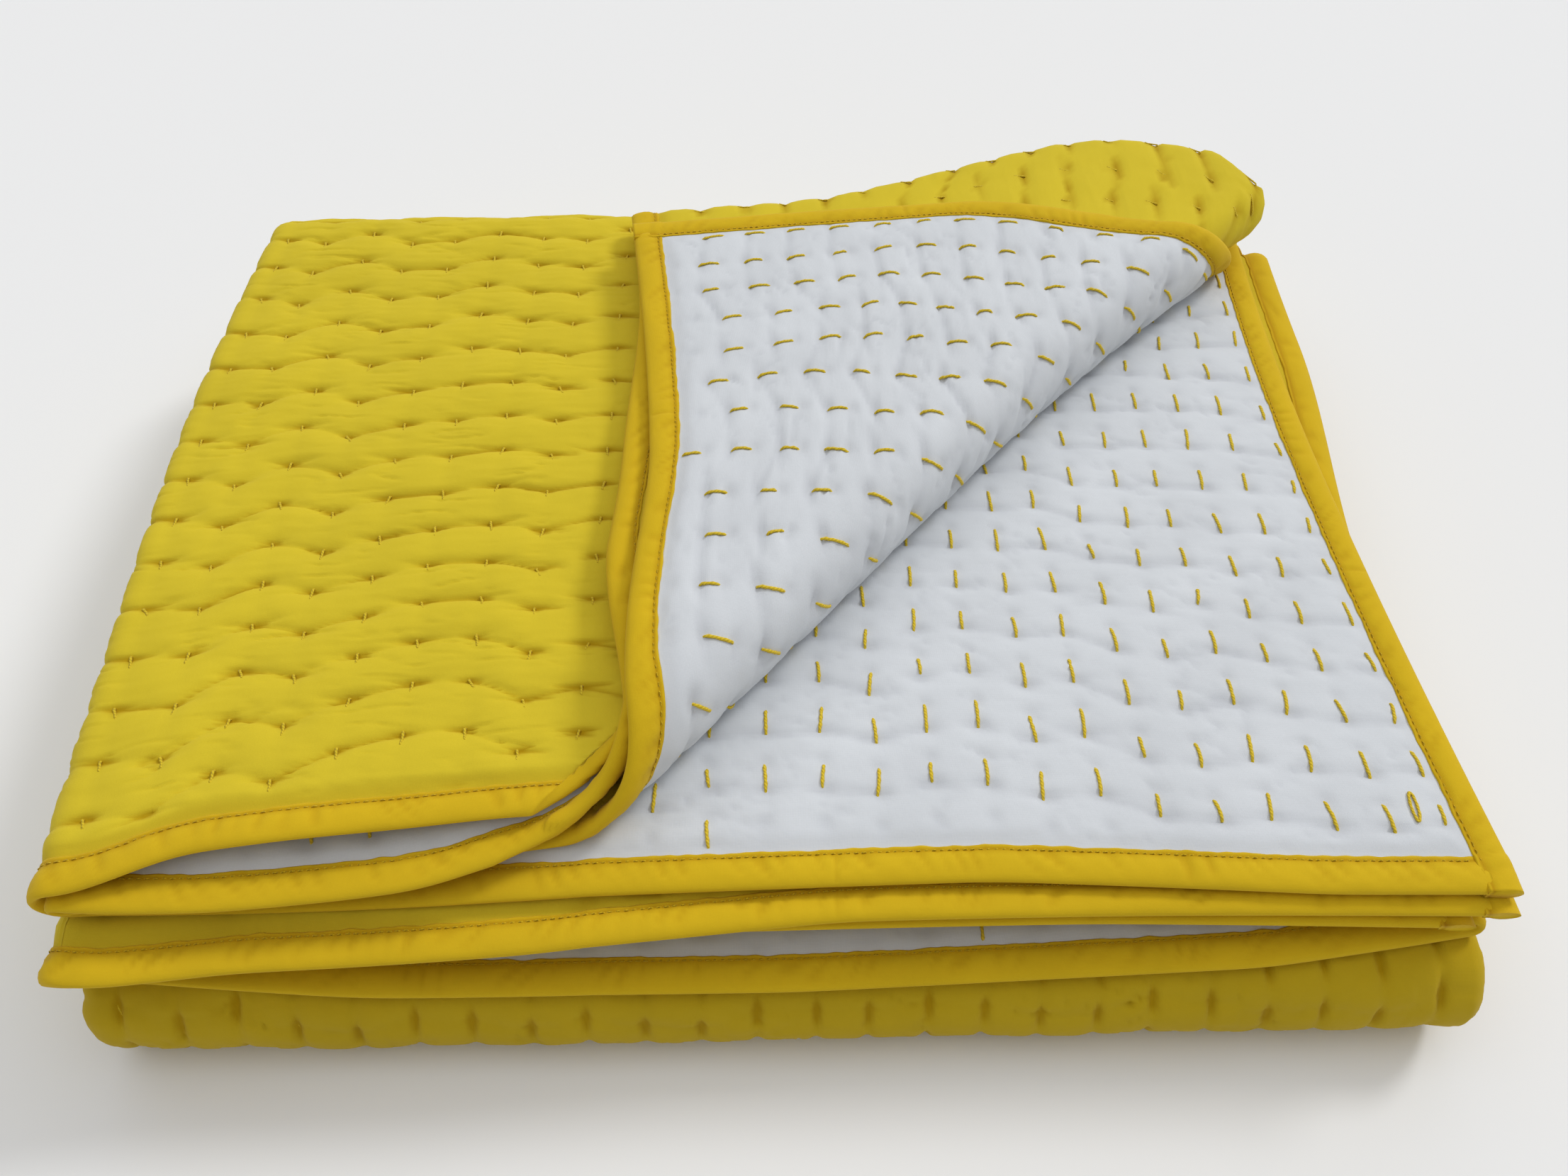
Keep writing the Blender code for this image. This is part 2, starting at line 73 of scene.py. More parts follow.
class Edge(Enum):
    """The quilt's four bound edges, with what their pieces' names start with."""

    FLAP = "flap_side"
    FREE = "free_side"
    FIRST = "first_end"
    SECOND = "second_end"


def smooth(t: Array) -> Array:
    """A ramp from 0 to 1 with flat ends."""
    t = np.clip(t, 0.0, 1.0)
    return t * t * (3.0 - 2.0 * t)


@dataclass(frozen=True)
class Relief:
    """A repeatable uneven field in two directions, made of random slopes on a grid."""

    seed: int
    cells: int = 128

    def at(self, x: Array, y: Array) -> Array:
        """Reads the field.

        Args:
            x: Places along the first direction, in grid cells.
            y: Places along the second direction, in grid cells.

        Returns:
            Values from about -1 to 1.
        """
        angles = np.random.default_rng(self.seed).uniform(0.0, 2.0 * math.pi, (self.cells, self.cells))
        x, y = np.broadcast_arrays(np.asarray(x, float), np.asarray(y, float))
        left = np.floor(x).astype(int)
        low = np.floor(y).astype(int)
        fx = x - left
        fy = y - low
        wx = fx * fx * fx * (fx * (fx * 6.0 - 15.0) + 10.0)
        wy = fy * fy * fy * (fy * (fy * 6.0 - 15.0) + 10.0)

        def slope(dx: int, dy: int) -> Array:
            """The field of one grid corner."""
            angle = angles[(left + dx) % self.cells, (low + dy) % self.cells]
            return np.cos(angle) * (fx - dx) + np.sin(angle) * (fy - dy)

        near = slope(0, 0) * (1.0 - wx) + slope(1, 0) * wx
        far = slope(0, 1) * (1.0 - wx) + slope(1, 1) * wx
        return 1.5 * (near * (1.0 - wy) + far * wy)


@dataclass(frozen=True)
class CornerRoll:
    """The front right corner of the upper three layers, rolled back over a slanting line."""

    start: tuple[float, float] = (-0.112, 0.004)
    end: tuple[float, float] = (0.2815, 0.418)
    core: float = 0.0052
    lift: float = 0.0015
    lift_reach: float = 0.04
    bow: float = 0.009
    swell: float = 0.25
    stretch: float = 0.02
    shear: float = 0.05
    slip: float = 0.017
    slip_reach: float = 0.05
    slip_front: float = 0.16
    slip_fade: float = 0.16
    above_binding: float = 0.0030
    between_layers: float = 0.0009
    wing: float = 0.077
    wing_least: float = 0.17
    wing_from_x: float = 0.02
    wing_start_y: float = 0.10
    wing_rise: float = 0.24
    wing_end_y: float = 0.360
    wing_fall: float = 0.048
    settle: float = 0.22
    settle_reach: float = 0.12
    push: float = 0.028
    push_from: float = -0.20
    push_width: float = 0.40
    side_bow: float = 0.012
    side_bow_length: float = 0.40
    ease: float = 0.09

    def above_third(self, h: Array, third: float) -> Array:
        """From 0 in the third layer to 1 in the two above it."""
        return smooth((h - third - self.above_binding) / self.between_layers)

    def widen(self, x: Array, y: Array, upper: Array, turn_x: float) -> Array:
        """Moves the fold between the two upper layers outward near the back.

        Args:
            x: Places across the stack.
            y: Places from front to back.
            upper: 1 for places in the two upper layers, and 0 for the others.
            turn_x: Where the upper fold's turn starts.

        Returns:
            The new places across the stack.
        """
        outward = smooth((x - self.wing_from_x) / (turn_x - self.wing_from_x))
        rising = self.wing_least + (1.0 - self.wing_least) * smooth((y - self.wing_start_y) / self.wing_rise)
        falling = 1.0 - smooth((y - self.wing_end_y) / self.wing_fall)
        return x + self.wing * outward * rising * falling * upper

    def place(self, x: Array, y: Array, h: Array, upper: Array, top: float, pitch: float) -> Arrays:
        """Rolls places in the top group over the line.

        Args:
            x: Places across the stack.
            y: Places from front to back.
            h: Heights in the group.
            upper: 1 for places in the two upper layers, and 0 for the others.
            top: Height of the first layer.
            pitch: Distance between layers.

        Returns:
            The rolled places and heights.
        """
        run_x = self.end[0] - self.start[0]
        run_y = self.end[1] - self.start[1]
        length = math.hypot(run_x, run_y)
        along_x = run_x / length
        along_y = run_y / length
        out_x = along_y
        out_y = -along_x
        radius_mean = self.core + 2.0 * pitch
        far_x = x - self.start[0]
        far_y = y - self.start[1]
        tau = far_x * along_x + far_y * along_y
        s = far_x * out_x + far_y * out_y + self.bow * np.sin(math.pi * np.clip(tau / length, 0.0, 1.0))
        past = np.maximum(s, 0.0)
        turn = np.minimum(past / radius_mean, math.pi)
        flat = np.maximum(past - math.pi * radius_mean, 0.0)
        deep = top - h
        lift = self.lift * smooth(1.0 + s / self.lift_reach) * upper
        radius = self.core - lift + deep + self.swell * smooth(turn / 0.8) * np.maximum(deep, 0.0)
        reach = radius * np.sin(turn) - flat * (1.0 + self.stretch)
        rolled = np.minimum(past, math.pi * radius_mean) - radius_mean * np.sin(turn)
        slide = self.shear * (0.5 * rolled + flat)
        plain_y = y - past * out_y + reach * out_y
        frontal = 1.0 - smooth((plain_y - self.slip_front) / self.slip_fade)
        slip = self.slip * smooth(flat / self.slip_reach) * frontal * upper
        new_x = x - past * out_x + (reach - slip) * out_x + slide * along_x
        new_y = y - past * out_y + (reach - slip) * out_y + slide * along_y
        settled = 1.0 - self.settle * smooth(flat / self.settle_reach)
        rise = self.core - radius * np.cos(turn)
        bed = 2.0 * self.core - self.lift
        raised = np.where((flat > 0.0) & (rise > bed), bed + (rise - bed) * settled, rise)
        eased = smooth(flat / self.ease)
        push = self.push * smooth((new_x - self.push_from) / self.push_width)
        side = self.side_bow * np.sin(math.pi * np.clip(new_y / self.side_bow_length, 0.0, 1.0))
        held = s > 0.0
        return (
            np.where(held, new_x + eased * side, x),
            np.where(held, new_y + eased * push, y),
            np.where(held, top + raised, h + lift),
        )


@dataclass(frozen=True)
class EndPoint:
    """A point of a cloth end.

    It gives the layer, the place across, the distance behind the front line and the height over the layer.
    """

    layer: int
    x: float
    back: float
    up: float = 0.0


FIRST_END = tuple(
    EndPoint(*row)
    for row in (
        (3, 0.268, 0.0200), (3, -0.060, 0.0190), (3, -0.110, 0.0120),
        (3, -0.180, 0.0010), (3, -0.268, -0.0100), (2, -0.268, -0.0130),
        (2, -0.219, -0.0120), (2, -0.140, -0.0050), (2, -0.110, 0.0050),
        (2, -0.060, 0.0170), (2, 0.274, 0.0200), (1, 0.274, 0.0200),
        (1, -0.060, 0.0200), (1, -0.110, 0.0190, 0.0002), (1, -0.187, 0.0100, 0.0060),
        (1, -0.230, 0.0050, 0.0050), (1, -0.268, -0.0100), (4, -0.268, -0.0080),
        (4, -0.115, -0.0050), (4, 0.078, -0.0030), (4, 0.211, -0.0100),
        (4, 0.2834, -0.0100),
    )
)

SECOND_END = tuple(
    EndPoint(*row)
    for row in (
        (3, 0.268, -0.0180), (3, 0.120, -0.0150), (3, -0.268, -0.0150),
        (2, -0.268, -0.0140), (2, -0.100, 0.0060), (2, 0.140, 0.0040),
        (2, 0.274, -0.0130), (1, 0.274, -0.0160), (1, 0.190, -0.0260),
        (1, 0.000, -0.0310), (1, -0.170, -0.0300), (1, -0.268, -0.0240),
        (4, -0.268, -0.0350), (4, -0.211, -0.0280), (4, -0.100, -0.0240),
        (4, 0.019, -0.0150), (4, 0.140, -0.0150), (4, 0.2834, -0.0160),
    )
)


@dataclass(frozen=True)
class Mouth:
    """An opening at the front between two layers: what lies under its height is pressed down."""

    pitches: float
    drop: float
    left: float
    right: float


@dataclass
class FoldedSheet:
    """The open quilt's folds: takes a place on the flat cloth to its place in the folded stack."""

    pitch: float = 0.0068
    cloth_half: float = 0.0022
    stack_half_width: float = 0.285
    back_y: float = 0.410
    front_y: float = -0.014
    back_squash: float = 0.6
    flap_edge_x: float = 0.268
    free_edge_x: float = 0.2834
    right_turn_x: float = 0.2744
    shift: tuple[float, float, float] = (0.0003, -0.2182, 0.0)
    mouth_reach: float = 0.14
    end_lift_reach: float = 0.16
    corner_softness: float = 0.010
    lower_out: float = 0.020
    lower_from: float = 0.30
    lower_rise: float = 0.50
    lower_fade: float = 0.60
    roll: CornerRoll = field(default_factory=CornerRoll)
    mouths: tuple[Mouth, ...] = (Mouth(15.22, 0.0045, -0.262, -0.080), Mouth(9.0, 0.0095, -0.250, 0.262))
    stretch_lengths: tuple[float, ...] = (0.392, 0.130, 0.424, 0.075, 0.424, 0.036, 0.424)

    def __post_init__(self) -> None:
        """Works out the layers' heights and where each layer starts on the open cloth."""
        p = self.pitch
        self.layer = {1: 1.5 * p, 2: 0.5 * p, 3: -0.5 * p, 4: -1.5 * p}
        self.group = {1: 14.0 * p, 2: 10.0 * p, 3: 6.0 * p, 4: 2.0 * p}
        self.ground = 0.5 * p - self.cloth_half
        self.left_turn_x = self.layer[1] + self.cloth_half - self.stack_half_width
        long_layer = self.right_turn_x - self.left_turn_x
        small_turn = 0.5 * math.pi * p
        self.start_2 = self.flap_edge_x - self.left_turn_x + small_turn
        self.start_1 = self.start_2 + long_layer + small_turn
        self.start_4 = self.start_1 + long_layer + 1.5 * math.pi * p
        self.width = self.start_4 + self.free_edge_x - self.left_turn_x
        self.length = sum(self.stretch_lengths)
        self.marks = np.concatenate([[0.0], np.cumsum(self.stretch_lengths)])
        self.first_end = self._end_curve(FIRST_END)
        self.second_end = self._end_curve(SECOND_END)

    def across(self, layer: int, x: float) -> float:
        """Finds a place of a layer on the open cloth.

        Args:
            layer: The layer's number in its group.
            x: The place across the stack.

        Returns:
            How far across the open cloth it lies.
        """
        if layer == 3:
            return self.flap_edge_x - x
        if layer == 1:
            return self.start_1 + self.right_turn_x - x
        return (self.start_2 if layer == 2 else self.start_4) + x - self.left_turn_x

    def _end_curve(self, table: tuple[EndPoint, ...]) -> Arrays:
        """Samples an end's curve finely and rounds its corners.

        Args:
            table: The end's points.

        Returns:
            Places across the cloth, and the end's distance back and height there.
        """
        places = np.array([self.across(point.layer, point.x) for point in table])
        fine = np.linspace(0.0, self.width, 900)
        step = fine[1] - fine[0]
        reach = int(3.0 * self.corner_softness / step)
        bell = np.exp(-0.5 * (np.arange(-reach, reach + 1) * step / self.corner_softness) ** 2)
        bell /= bell.sum()
        found = []
        for values in ([point.back for point in table], [point.up for point in table]):
            padded = np.pad(np.interp(fine, places, values), reach, mode="edge")
            found.append(np.convolve(padded, bell, mode="valid"))
        return fine, found[0], found[1]

    def columns(self, u: Array) -> Arrays:
        """Takes places across the open cloth to the group's section.

        Args:
            u: Places across the cloth, in metres.

        Returns:
            The place across the stack, the height in the group, and the yellow face's direction in both.
        """
        p = self.pitch
        x = np.zeros_like(u)
        h = np.zeros_like(u)
        nx = np.zeros_like(u)
        nh = np.ones_like(u)
        end_3 = self.flap_edge_x - self.left_turn_x
        end_2 = self.start_2 + self.right_turn_x - self.left_turn_x
        end_1 = self.start_1 + self.right_turn_x - self.left_turn_x
        flats = (
            (u <= end_3, self.flap_edge_x - u, 3, 1.0),
            ((u >= self.start_2) & (u <= end_2), self.left_turn_x + u - self.start_2, 2, -1.0),
            ((u >= self.start_1) & (u <= end_1), self.right_turn_x - u + self.start_1, 1, 1.0),
            (u >= self.start_4, self.left_turn_x + u - self.start_4, 4, -1.0),
        )
        for inside, place, layer, up in flats:
            x = np.where(inside, place, x)
            h = np.where(inside, self.layer[layer], h)
            nh = np.where(inside, up, nh)
        quarter = 0.5 * math.pi
        turns = (
            (end_3, self.start_2, self.left_turn_x, 0.0, 0.5 * p, -quarter, -math.pi, -1.0),
            (end_2, self.start_1, self.right_turn_x, p, 0.5 * p, -quarter, math.pi, 1.0),
            (end_1, self.start_4, self.left_turn_x, 0.0, 1.5 * p, quarter, math.pi, 1.0),
        )
        for low, high, centre_x, centre_h, radius, start, sweep, side in turns:
            inside = (u > low) & (u < high)
            angle = start + sweep * (u - low) / (high - low)
            x = np.where(inside, centre_x + radius * np.cos(angle), x)
            h = np.where(inside, centre_h + radius * np.sin(angle), h)
            nx = np.where(inside, side * np.cos(angle), nx)
            nh = np.where(inside, side * np.sin(angle), nh)
        return x, h, nx, nh

    def place(self, u: Array, v: Array, off: Array, past: Array | float = 0.0) -> Array:
        """Takes places on the open cloth to the folded quilt.

        Args:
            u: Places across the cloth, in metres.
            v: Places along it, from its first end.
            off: Distance from the cloth's middle, positive on the yellow face.
            past: How far beyond a side edge the place lies, for what wraps that edge.

        Returns:
            Points in the shared frame, one more axis than the input.
        """
        u, v, off, past = np.broadcast_arrays(u, v, off, past)
        x, h, nx, nh = self.columns(np.clip(u, 0.0, self.width))
        level = h
        x = x + past + off * nx
        h = h + off * nh
        stretch = np.clip(np.searchsorted(self.marks, v, side="right") - 1, 0, len(self.stretch_lengths) - 1)
        part = (v - self.marks[stretch]) / np.array(self.stretch_lengths)[stretch]
        angle = math.pi * part
        fine_u, first_back, first_up = self.first_end
        y_1 = np.interp(u, fine_u, first_back)
        y_2 = np.interp(u, fine_u, self.second_end[1])
        p = self.pitch
        r_outer = 6.0 * p + h
        r_front = 2.0 * p + h
        r_inner = 2.0 * p - h
        back_1 = y_1 + part * (self.back_y - y_1)
        back_2 = self.back_y + part * (y_2 - self.back_y)
        upper = self.roll.above_third(level, self.layer[3])
        wide_x = self.roll.widen(x, back_1, upper, self.right_turn_x)
        flap_x, flap_y, flap_h = self.roll.place(wide_x, back_1, h, upper, self.layer[1], p)
        held = level > -p
        top_x = np.where(held, flap_x, x)
        top_y = np.where(held, flap_y, back_1)
        top_h = np.where(held, flap_h, h)
        fade_1 = (1.0 - np.clip((back_1 - y_1) / self.end_lift_reach, 0.0, 1.0)) ** 2
        fade_2 = (1.0 - np.clip((back_2 - y_2) / self.end_lift_reach, 0.0, 1.0)) ** 2
        up_1 = np.interp(u, fine_u, first_up) * fade_1
        up_2 = np.interp(u, fine_u, self.second_end[2]) * fade_2
        span = self.back_y - self.front_y
        choices_y = [
            top_y,
            self.back_y + self.back_squash * r_outer * np.sin(angle),
            self.back_y - part * span,
            self.front_y - r_front * np.sin(angle),
            self.front_y + part * span,
            self.back_y + self.back_squash * r_inner * np.sin(angle),
            back_2,
        ]
        choices_z = [
            self.group[1] + top_h + up_1,
            8.0 * p + r_outer * np.cos(angle),
            self.group[4] - h,
            4.0 * p - r_front * np.cos(angle),
            self.group[3] + h,
            8.0 * p - r_inner * np.cos(angle),
            self.group[2] - h + up_2,
        ]
        y = np.choose(stretch, choices_y)
        z = np.choose(stretch, choices_z) - self.ground
        x = np.where(stretch == 0, top_x, x)
        x, y, z = self._settle(x, y, z)
        below = np.where(stretch == 0, 0.0, np.where(stretch == 1, smooth(part / self.lower_fade), 1.0))
        toward_back = smooth((y / self.back_y - self.lower_from) / self.lower_rise)
        x = x + self.lower_out * below * toward_back * smooth(x / self.stack_half_width)
        z = np.maximum(z, 0.0002)
        return np.stack([x, y, z], axis=-1) + np.array(self.shift)

    def _settle(self, x: Array, y: Array, z: Array) -> Arrays:
        """Opens the mouths by pressing down what lies under them, and makes the sides and top uneven.

        Args:
            x: Places across the stack.
            y: Places from front to back.
            z: Heights over the ground.

        Returns:
            The new places and heights.
        """
        for mouth in self.mouths:
            height = mouth.pitches * self.pitch - self.ground
            inside = np.clip((x - mouth.left) / (mouth.right - mouth.left), 0.0, 1.0)
            near = 1.0 - np.clip((y - self.front_y) / self.mouth_reach, 0.0, 1.0)
            amount = mouth.drop * np.sin(math.pi * inside) ** 0.8 * smooth(near)
            z = np.where(z < height, z * (1.0 - amount / height), z)
        depth = np.clip(y / self.back_y, 0.0, 1.1)
        left = smooth(-x / self.stack_half_width)
        right = smooth(x / self.stack_half_width)
        lean = np.clip(z / self.group[1], 0.0, 1.2)
        belly = np.sin(math.pi * np.clip(depth, 0.0, 1.0)) * lean
        new_x = x - left * (0.003 + 0.016 * depth * lean + 0.008 * belly) - right * 0.012 * belly
        new_x += 0.0012 * np.sin(15.0 * y + 6.0 * lean) * (left + right)
        new_y = y + 0.0020 * np.sin(8.0 * x + 0.6) * lean
        height = 0.012 * np.sin(8.0 * x + 0.4) * np.sin(7.0 * y + 0.5) + 0.004 * np.sin(12.0 * x - 9.0 * y)
        return new_x, new_y, z * (1.0 + height)


@dataclass(frozen=True)
class Stitches:
    """Running stitches seen on one face: their rows, middles, lengths and slants."""

    row: Array
    v: Array
    length: Array
    slant: Array

    def some(self, pick: Array) -> Stitches:
        """Those stitches that are picked."""
        return Stitches(self.row[pick], self.v[pick], self.length[pick], self.slant[pick])


@dataclass
class StitchPlan:
    """The rows of running stitches, and how they quilt both faces of the cloth."""

    sheet: FoldedSheet
    seed: int = 11
    first_row: float = 0.0175
    row_step: float = 0.0230
    row_sway: float = 0.0016
    pitch: float = 0.0250
    yellow_full: float = 0.0032
    yellow_valley: float = 0.0020
    yellow_crease: float = 0.0014
    yellow_wrinkle: float = 0.0009
    yellow_least: float = 0.0006
    white_full: float = 0.0030
    white_valley: float = 0.0015
    white_crease: float = 0.0020
    white_wrinkle: float = 0.0011
    white_least: float = 0.0008
    white_lag: float = 0.27
    fullest: float = 0.0033
    pit_width: float = 0.0026
    pit_length: float = 0.0040
    pit_depth: float = 0.0007
    front_pit_depth: float = 0.0022
    stitch_end: float = 0.0060
    stitch_end_depth: float = 0.0008
    bound: float = 0.0012
    bound_reach: float = 0.0115
    bound_rise: float = 0.0090
    # The share next to the bindings, where the faces are pressed down: the rest of it is painted shade.
    bound_unshaded: float = 0.6
    stitched_from: float = 0.019
    yellow_lag: float = 0.08
    front_lead: float = 0.030
    # How much painted shade darkens the yellow face round the front fold.
    front_shade: float = 0.65
    puff: float = 0.0017
    puff_from_x: float = -0.094
    puff_rise: float = 0.022

    def __post_init__(self) -> None:
        """Spaces the rows evenly over the cloth's width and draws their random parts."""
        rng = np.random.default_rng(self.seed)
        inner = self.sheet.width - 2.0 * self.first_row
        self.rows = int(round(inner / self.row_step)) + 1
        self.row_step = inner / (self.rows - 1)
        self.offset = rng.uniform(-0.22, 0.22, self.rows + 3)
        self.most = int(self.sheet.length / self.pitch) + 6
        cells = (self.rows + 3, self.most + 6)
        self.crease = rng.uniform(-0.25, 1.0, cells).clip(0.0, 1.0)
        self.lean = rng.uniform(-0.16, 0.16, cells)
        self.reach = rng.uniform(0.35, 1.0, cells)
        self.broad = Relief(self.seed + 1)
        self.near = Relief(self.seed + 2)
        self.sway = Relief(self.seed + 3)
        self.fine = Relief(self.seed + 4)
        self.mid = Relief(self.seed + 5)

    def row_u(self, row: Array, v: Array) -> Array:
        """Where a row lies across the cloth, with its slight sway."""
        sway = self.sway.at(0.83 * row + 0.4, v / 0.09)
        return self.first_row + row * self.row_step + self.row_sway * sway

    def phase(self, row: Array, v: Array) -> Array:
        """Counts stitches along a row: whole numbers are valleys of the yellow face.

        Args:
            row: The rows' numbers.
            v: Places along them.

        Returns:
            The counts.
        """
        offset = self.offset[np.clip(row, 0, self.rows).astype(int)]
        wander = 0.5 * self.broad.at(0.11 * row + 0.3, v / 0.30) + 0.22 * self.near.at(0.9 * row, v / 0.11)
        return v / self.pitch + offset + wander

    def counted(self, u: Array) -> Array:
        """Places across the cloth, counted in rows."""
        return np.clip((u - self.first_row) / self.row_step, 0.0, self.rows - 1.0001)

    def number(self, phase: Array) -> Array:
        """The nearest whole count, for the tables of random parts."""
        return np.clip(np.round(phase), 0, self.most + 5).astype(int)

    def lattice(self, u: Array, v: Array) -> Arrays:
        """Finds the rows round a place.

        Args:
            u: Places across the cloth.
            v: Places along it.

        Returns:
            The phase, and the place counted in rows.
        """
        sway = self.sway.at(0.83 * (u - self.first_row) / self.row_step + 0.4, v / 0.09)
        place = self.counted(u - self.row_sway * sway)
        low = np.floor(place)
        part = place - low
        return self.phase(low, v) * (1.0 - part) + self.phase(low + 1.0, v) * part, place

    def nearest(self, u: Array, v: Array) -> Arrays:
        """Finds the row nearest to a place.

        Args:
            u: Places across the cloth.
            v: Places along it.

        Returns:
            The phase, the distance to the nearest row and that row's own phase.
        """
        phase, place = self.lattice(u, v)
        row = np.round(place)
        return phase, (place - row) * self.row_step, self.phase(row, v)

    def front(self, v: Array) -> Array:
        """From 0 on the flat stretches to 1 round the front fold.

        Args:
            v: Places along the cloth.

        Returns:
            The share.
        """
        lead = self.front_lead
        start, end = self.sheet.marks[3:5]
        return smooth((v - start + lead) / lead) * (1.0 - smooth((v - end) / lead))

    def open_top(self, u: Array, v: Array) -> Array:
        """From 0 where the yellow face lies against other layers to 1 where nothing lies on it.

        Args:
            u: Places across the cloth.
            v: Places along it.

        Returns:
            The share, made a little uneven.
        """
        sheet = self.sheet
        start = sheet.across(1, self.puff_from_x)
        turn = sheet.across(1, sheet.left_turn_x)
        rise = self.puff_rise
        across = smooth((u - start) / rise) * (1.0 - smooth((u - turn + rise) / rise))
        along = 1.0 - smooth((v - sheet.marks[1]) / (sheet.marks[2] - sheet.marks[1]))
        bend = np.clip((v - sheet.marks[3]) / (sheet.marks[4] - sheet.marks[3]), 0.0, 1.0)
        uneven = 0.75 + 0.45 * self.broad.at(u / 0.050 + 7.0, v / 0.028)
        return np.maximum(across * along, 0.8 * np.sin(math.pi * bend) * (u > sheet.start_1)) * uneven

    def creases(self, u: Array, v: Array, width: float) -> Array:
        """Creases that start at the stitches and run across, some of them as far as the next row.

        Args:
            u: Places across the cloth.
            v: Places along it.
            width: How wide a crease is.

        Returns:
            From 0 in the open cloth to 1 in a crease.
        """
        phase, place = self.lattice(u, v)
        low = np.floor(place)
        drawn = self.crease[low.astype(int), self.number(phase)]
        strength = 1.0 - (1.0 - drawn) * np.sin(math.pi * (place - low)) ** 2
        found = strength * np.exp(-np.abs(phase - np.round(phase)) * self.pitch / width)
        place = self.counted(u)
        low = np.floor(place)
        part = place - low
        for side, row in ((part, low), (1.0 - part, low + 1.0)):
            own = self.phase(row, v)
            cell = (row.astype(int), self.number(own))
            gone = np.abs(own - np.round(own) + self.lean[cell] * side) * self.pitch
            shown = 1.0 - smooth(side / self.reach[cell])
            found = np.maximum(found, shown * np.exp(-gone / width))
        return found

    def folds(self, u: Array, v: Array, shift: float) -> Array:
        """Short wandering wrinkles, mostly across the rows.

        Args:
            u: Places across the cloth.
            v: Places along it.
            shift: Moves the field, so that each face has its own.

        Returns:
            From 0 in the open cloth to 1 in a wrinkle.
        """
        line = np.exp(-np.abs(self.fine.at(u / 0.034 + shift, v / 0.0105)) / 0.04)
        shown = smooth(1.6 * self.mid.at(u / 0.030 + shift, v / 0.022 + shift) + 0.20)
        slant = np.exp(-np.abs(self.near.at((u + 0.5 * v) / 0.024 + shift, (v - 0.3 * u) / 0.0090)) / 0.05)
        other = smooth(1.6 * self.mid.at(u / 0.021 + 60.0 + shift, v / 0.017 + shift))
        return np.maximum(line * shown, 0.7 * slant * other)

    def yellow_off(self, u: Array, v: Array) -> Arrays:
        """How far the yellow face lies from the cloth's middle.

        Args:
            u: Places across the cloth.
            v: Places along it.

        Returns:
            The distance, and how far each place is spared painted shade: low in valleys and round the front
            fold.
        """
        phase, away, own = self.nearest(u, v)
        along = (own - np.round(own) + self.yellow_lag) * self.pitch
        front = self.front(v)
        wide = self.pit_width - 0.0009 * front
        long = self.pit_length + 0.0028 * front
        pit = np.exp(-((away / wide) ** 2) - (along / long) ** 2)
        hump = np.abs(np.sin(math.pi * own))
        wrinkle = 0.00024 * self.fine.at(u / 0.013, v / 0.0042) + 0.00030 * self.mid.at(u / 0.045, v / 0.014)
        swell = self.puff * self.open_top(u, v)
        pillow = np.abs(np.sin(math.pi * phase)) ** 0.6
        off = self.yellow_full - 0.0005 * (1.0 - hump) + wrinkle + swell * pillow
        across = self.creases(u, v, self.yellow_crease) * (1.0 - 0.75 * front)
        off = off - self.yellow_valley * across - (self.yellow_wrinkle + 0.4 * swell) * self.folds(u, v, 3.0)
        off = off - (self.pit_depth + self.front_pit_depth * front + 0.2 * swell) * pit
        off = off - (0.0004 + 0.0006 * front) * np.exp(-((away / 0.0036) ** 2)) * hump
        off = np.clip(off, self.yellow_least, self.fullest + swell)
        # Painted shade: valleys and the front fold get a low share, which darkens and deepens their colour.
        unshaded = np.clip((off - 0.0009) / 0.0015, 0.0, 1.0) * (1.0 - self.front_shade * front)
        return off, unshaded

    def white_off(self, u: Array, v: Array) -> Arrays:
        """How far the white face lies from the cloth's middle.

        Args:
            u: Places across the cloth.
            v: Places along it.

        Returns:
            The distance, and how far each place is spared painted shade: low in valleys and creases.
        """
        _, away, own = self.nearest(u, v)
        own = own + 0.5
        along = (own - np.round(own)) * self.pitch
        ends = np.exp(-((away / 0.0032) ** 2) - ((np.abs(along) - self.stitch_end) / 0.0026) ** 2)
        under = np.exp(-((away / 0.0050) ** 2) - (along / 0.0075) ** 2)
        wrinkle = 0.00016 * self.fine.at(u / 0.016 + 40.0, v / 0.0075)
        wrinkle = wrinkle + 0.00030 * self.mid.at(u / 0.050 + 20.0, v / 0.018)
        crease = self.creases(u, v - self.white_lag * self.pitch, self.white_crease)
        off = self.white_full - self.white_valley * crease - self.white_wrinkle * self.folds(u, v, 11.0)
        off = off - self.stitch_end_depth * ends - 0.0003 * under + wrinkle
        off = np.clip(off, self.white_least, self.fullest)
        # Painted shade: the white face's valleys and creases get a low share, which darkens their colour.
        unshaded = np.clip((off - 0.0012) / 0.0018, 0.0, 1.0)
        return off, unshaded

    def off(self, side: Side, u: Array, v: Array) -> Arrays:
        """How far either face lies from the cloth's middle, pressed down under the bindings.

        Args:
            side: The face.
            u: Places across the cloth.
            v: Places along it.

        Returns:
            The distance, and how far each place is spared painted shade, which lies on valleys and next to
            the bindings.
        """
        off, unshaded = self.yellow_off(u, v) if side is Side.YELLOW else self.white_off(u, v)
        in_u = np.minimum(u, self.sheet.width - u)
        in_v = np.minimum(v, self.sheet.length - v)
        full = smooth((np.minimum(in_u, in_v) - self.bound_reach) / self.bound_rise)
        # Next to the bindings the share falls to a fixed value: painted shade where the faces are pressed
        # down.
        return self.bound + (off - self.bound) * full, unshaded * full + self.bound_unshaded * (1.0 - full)

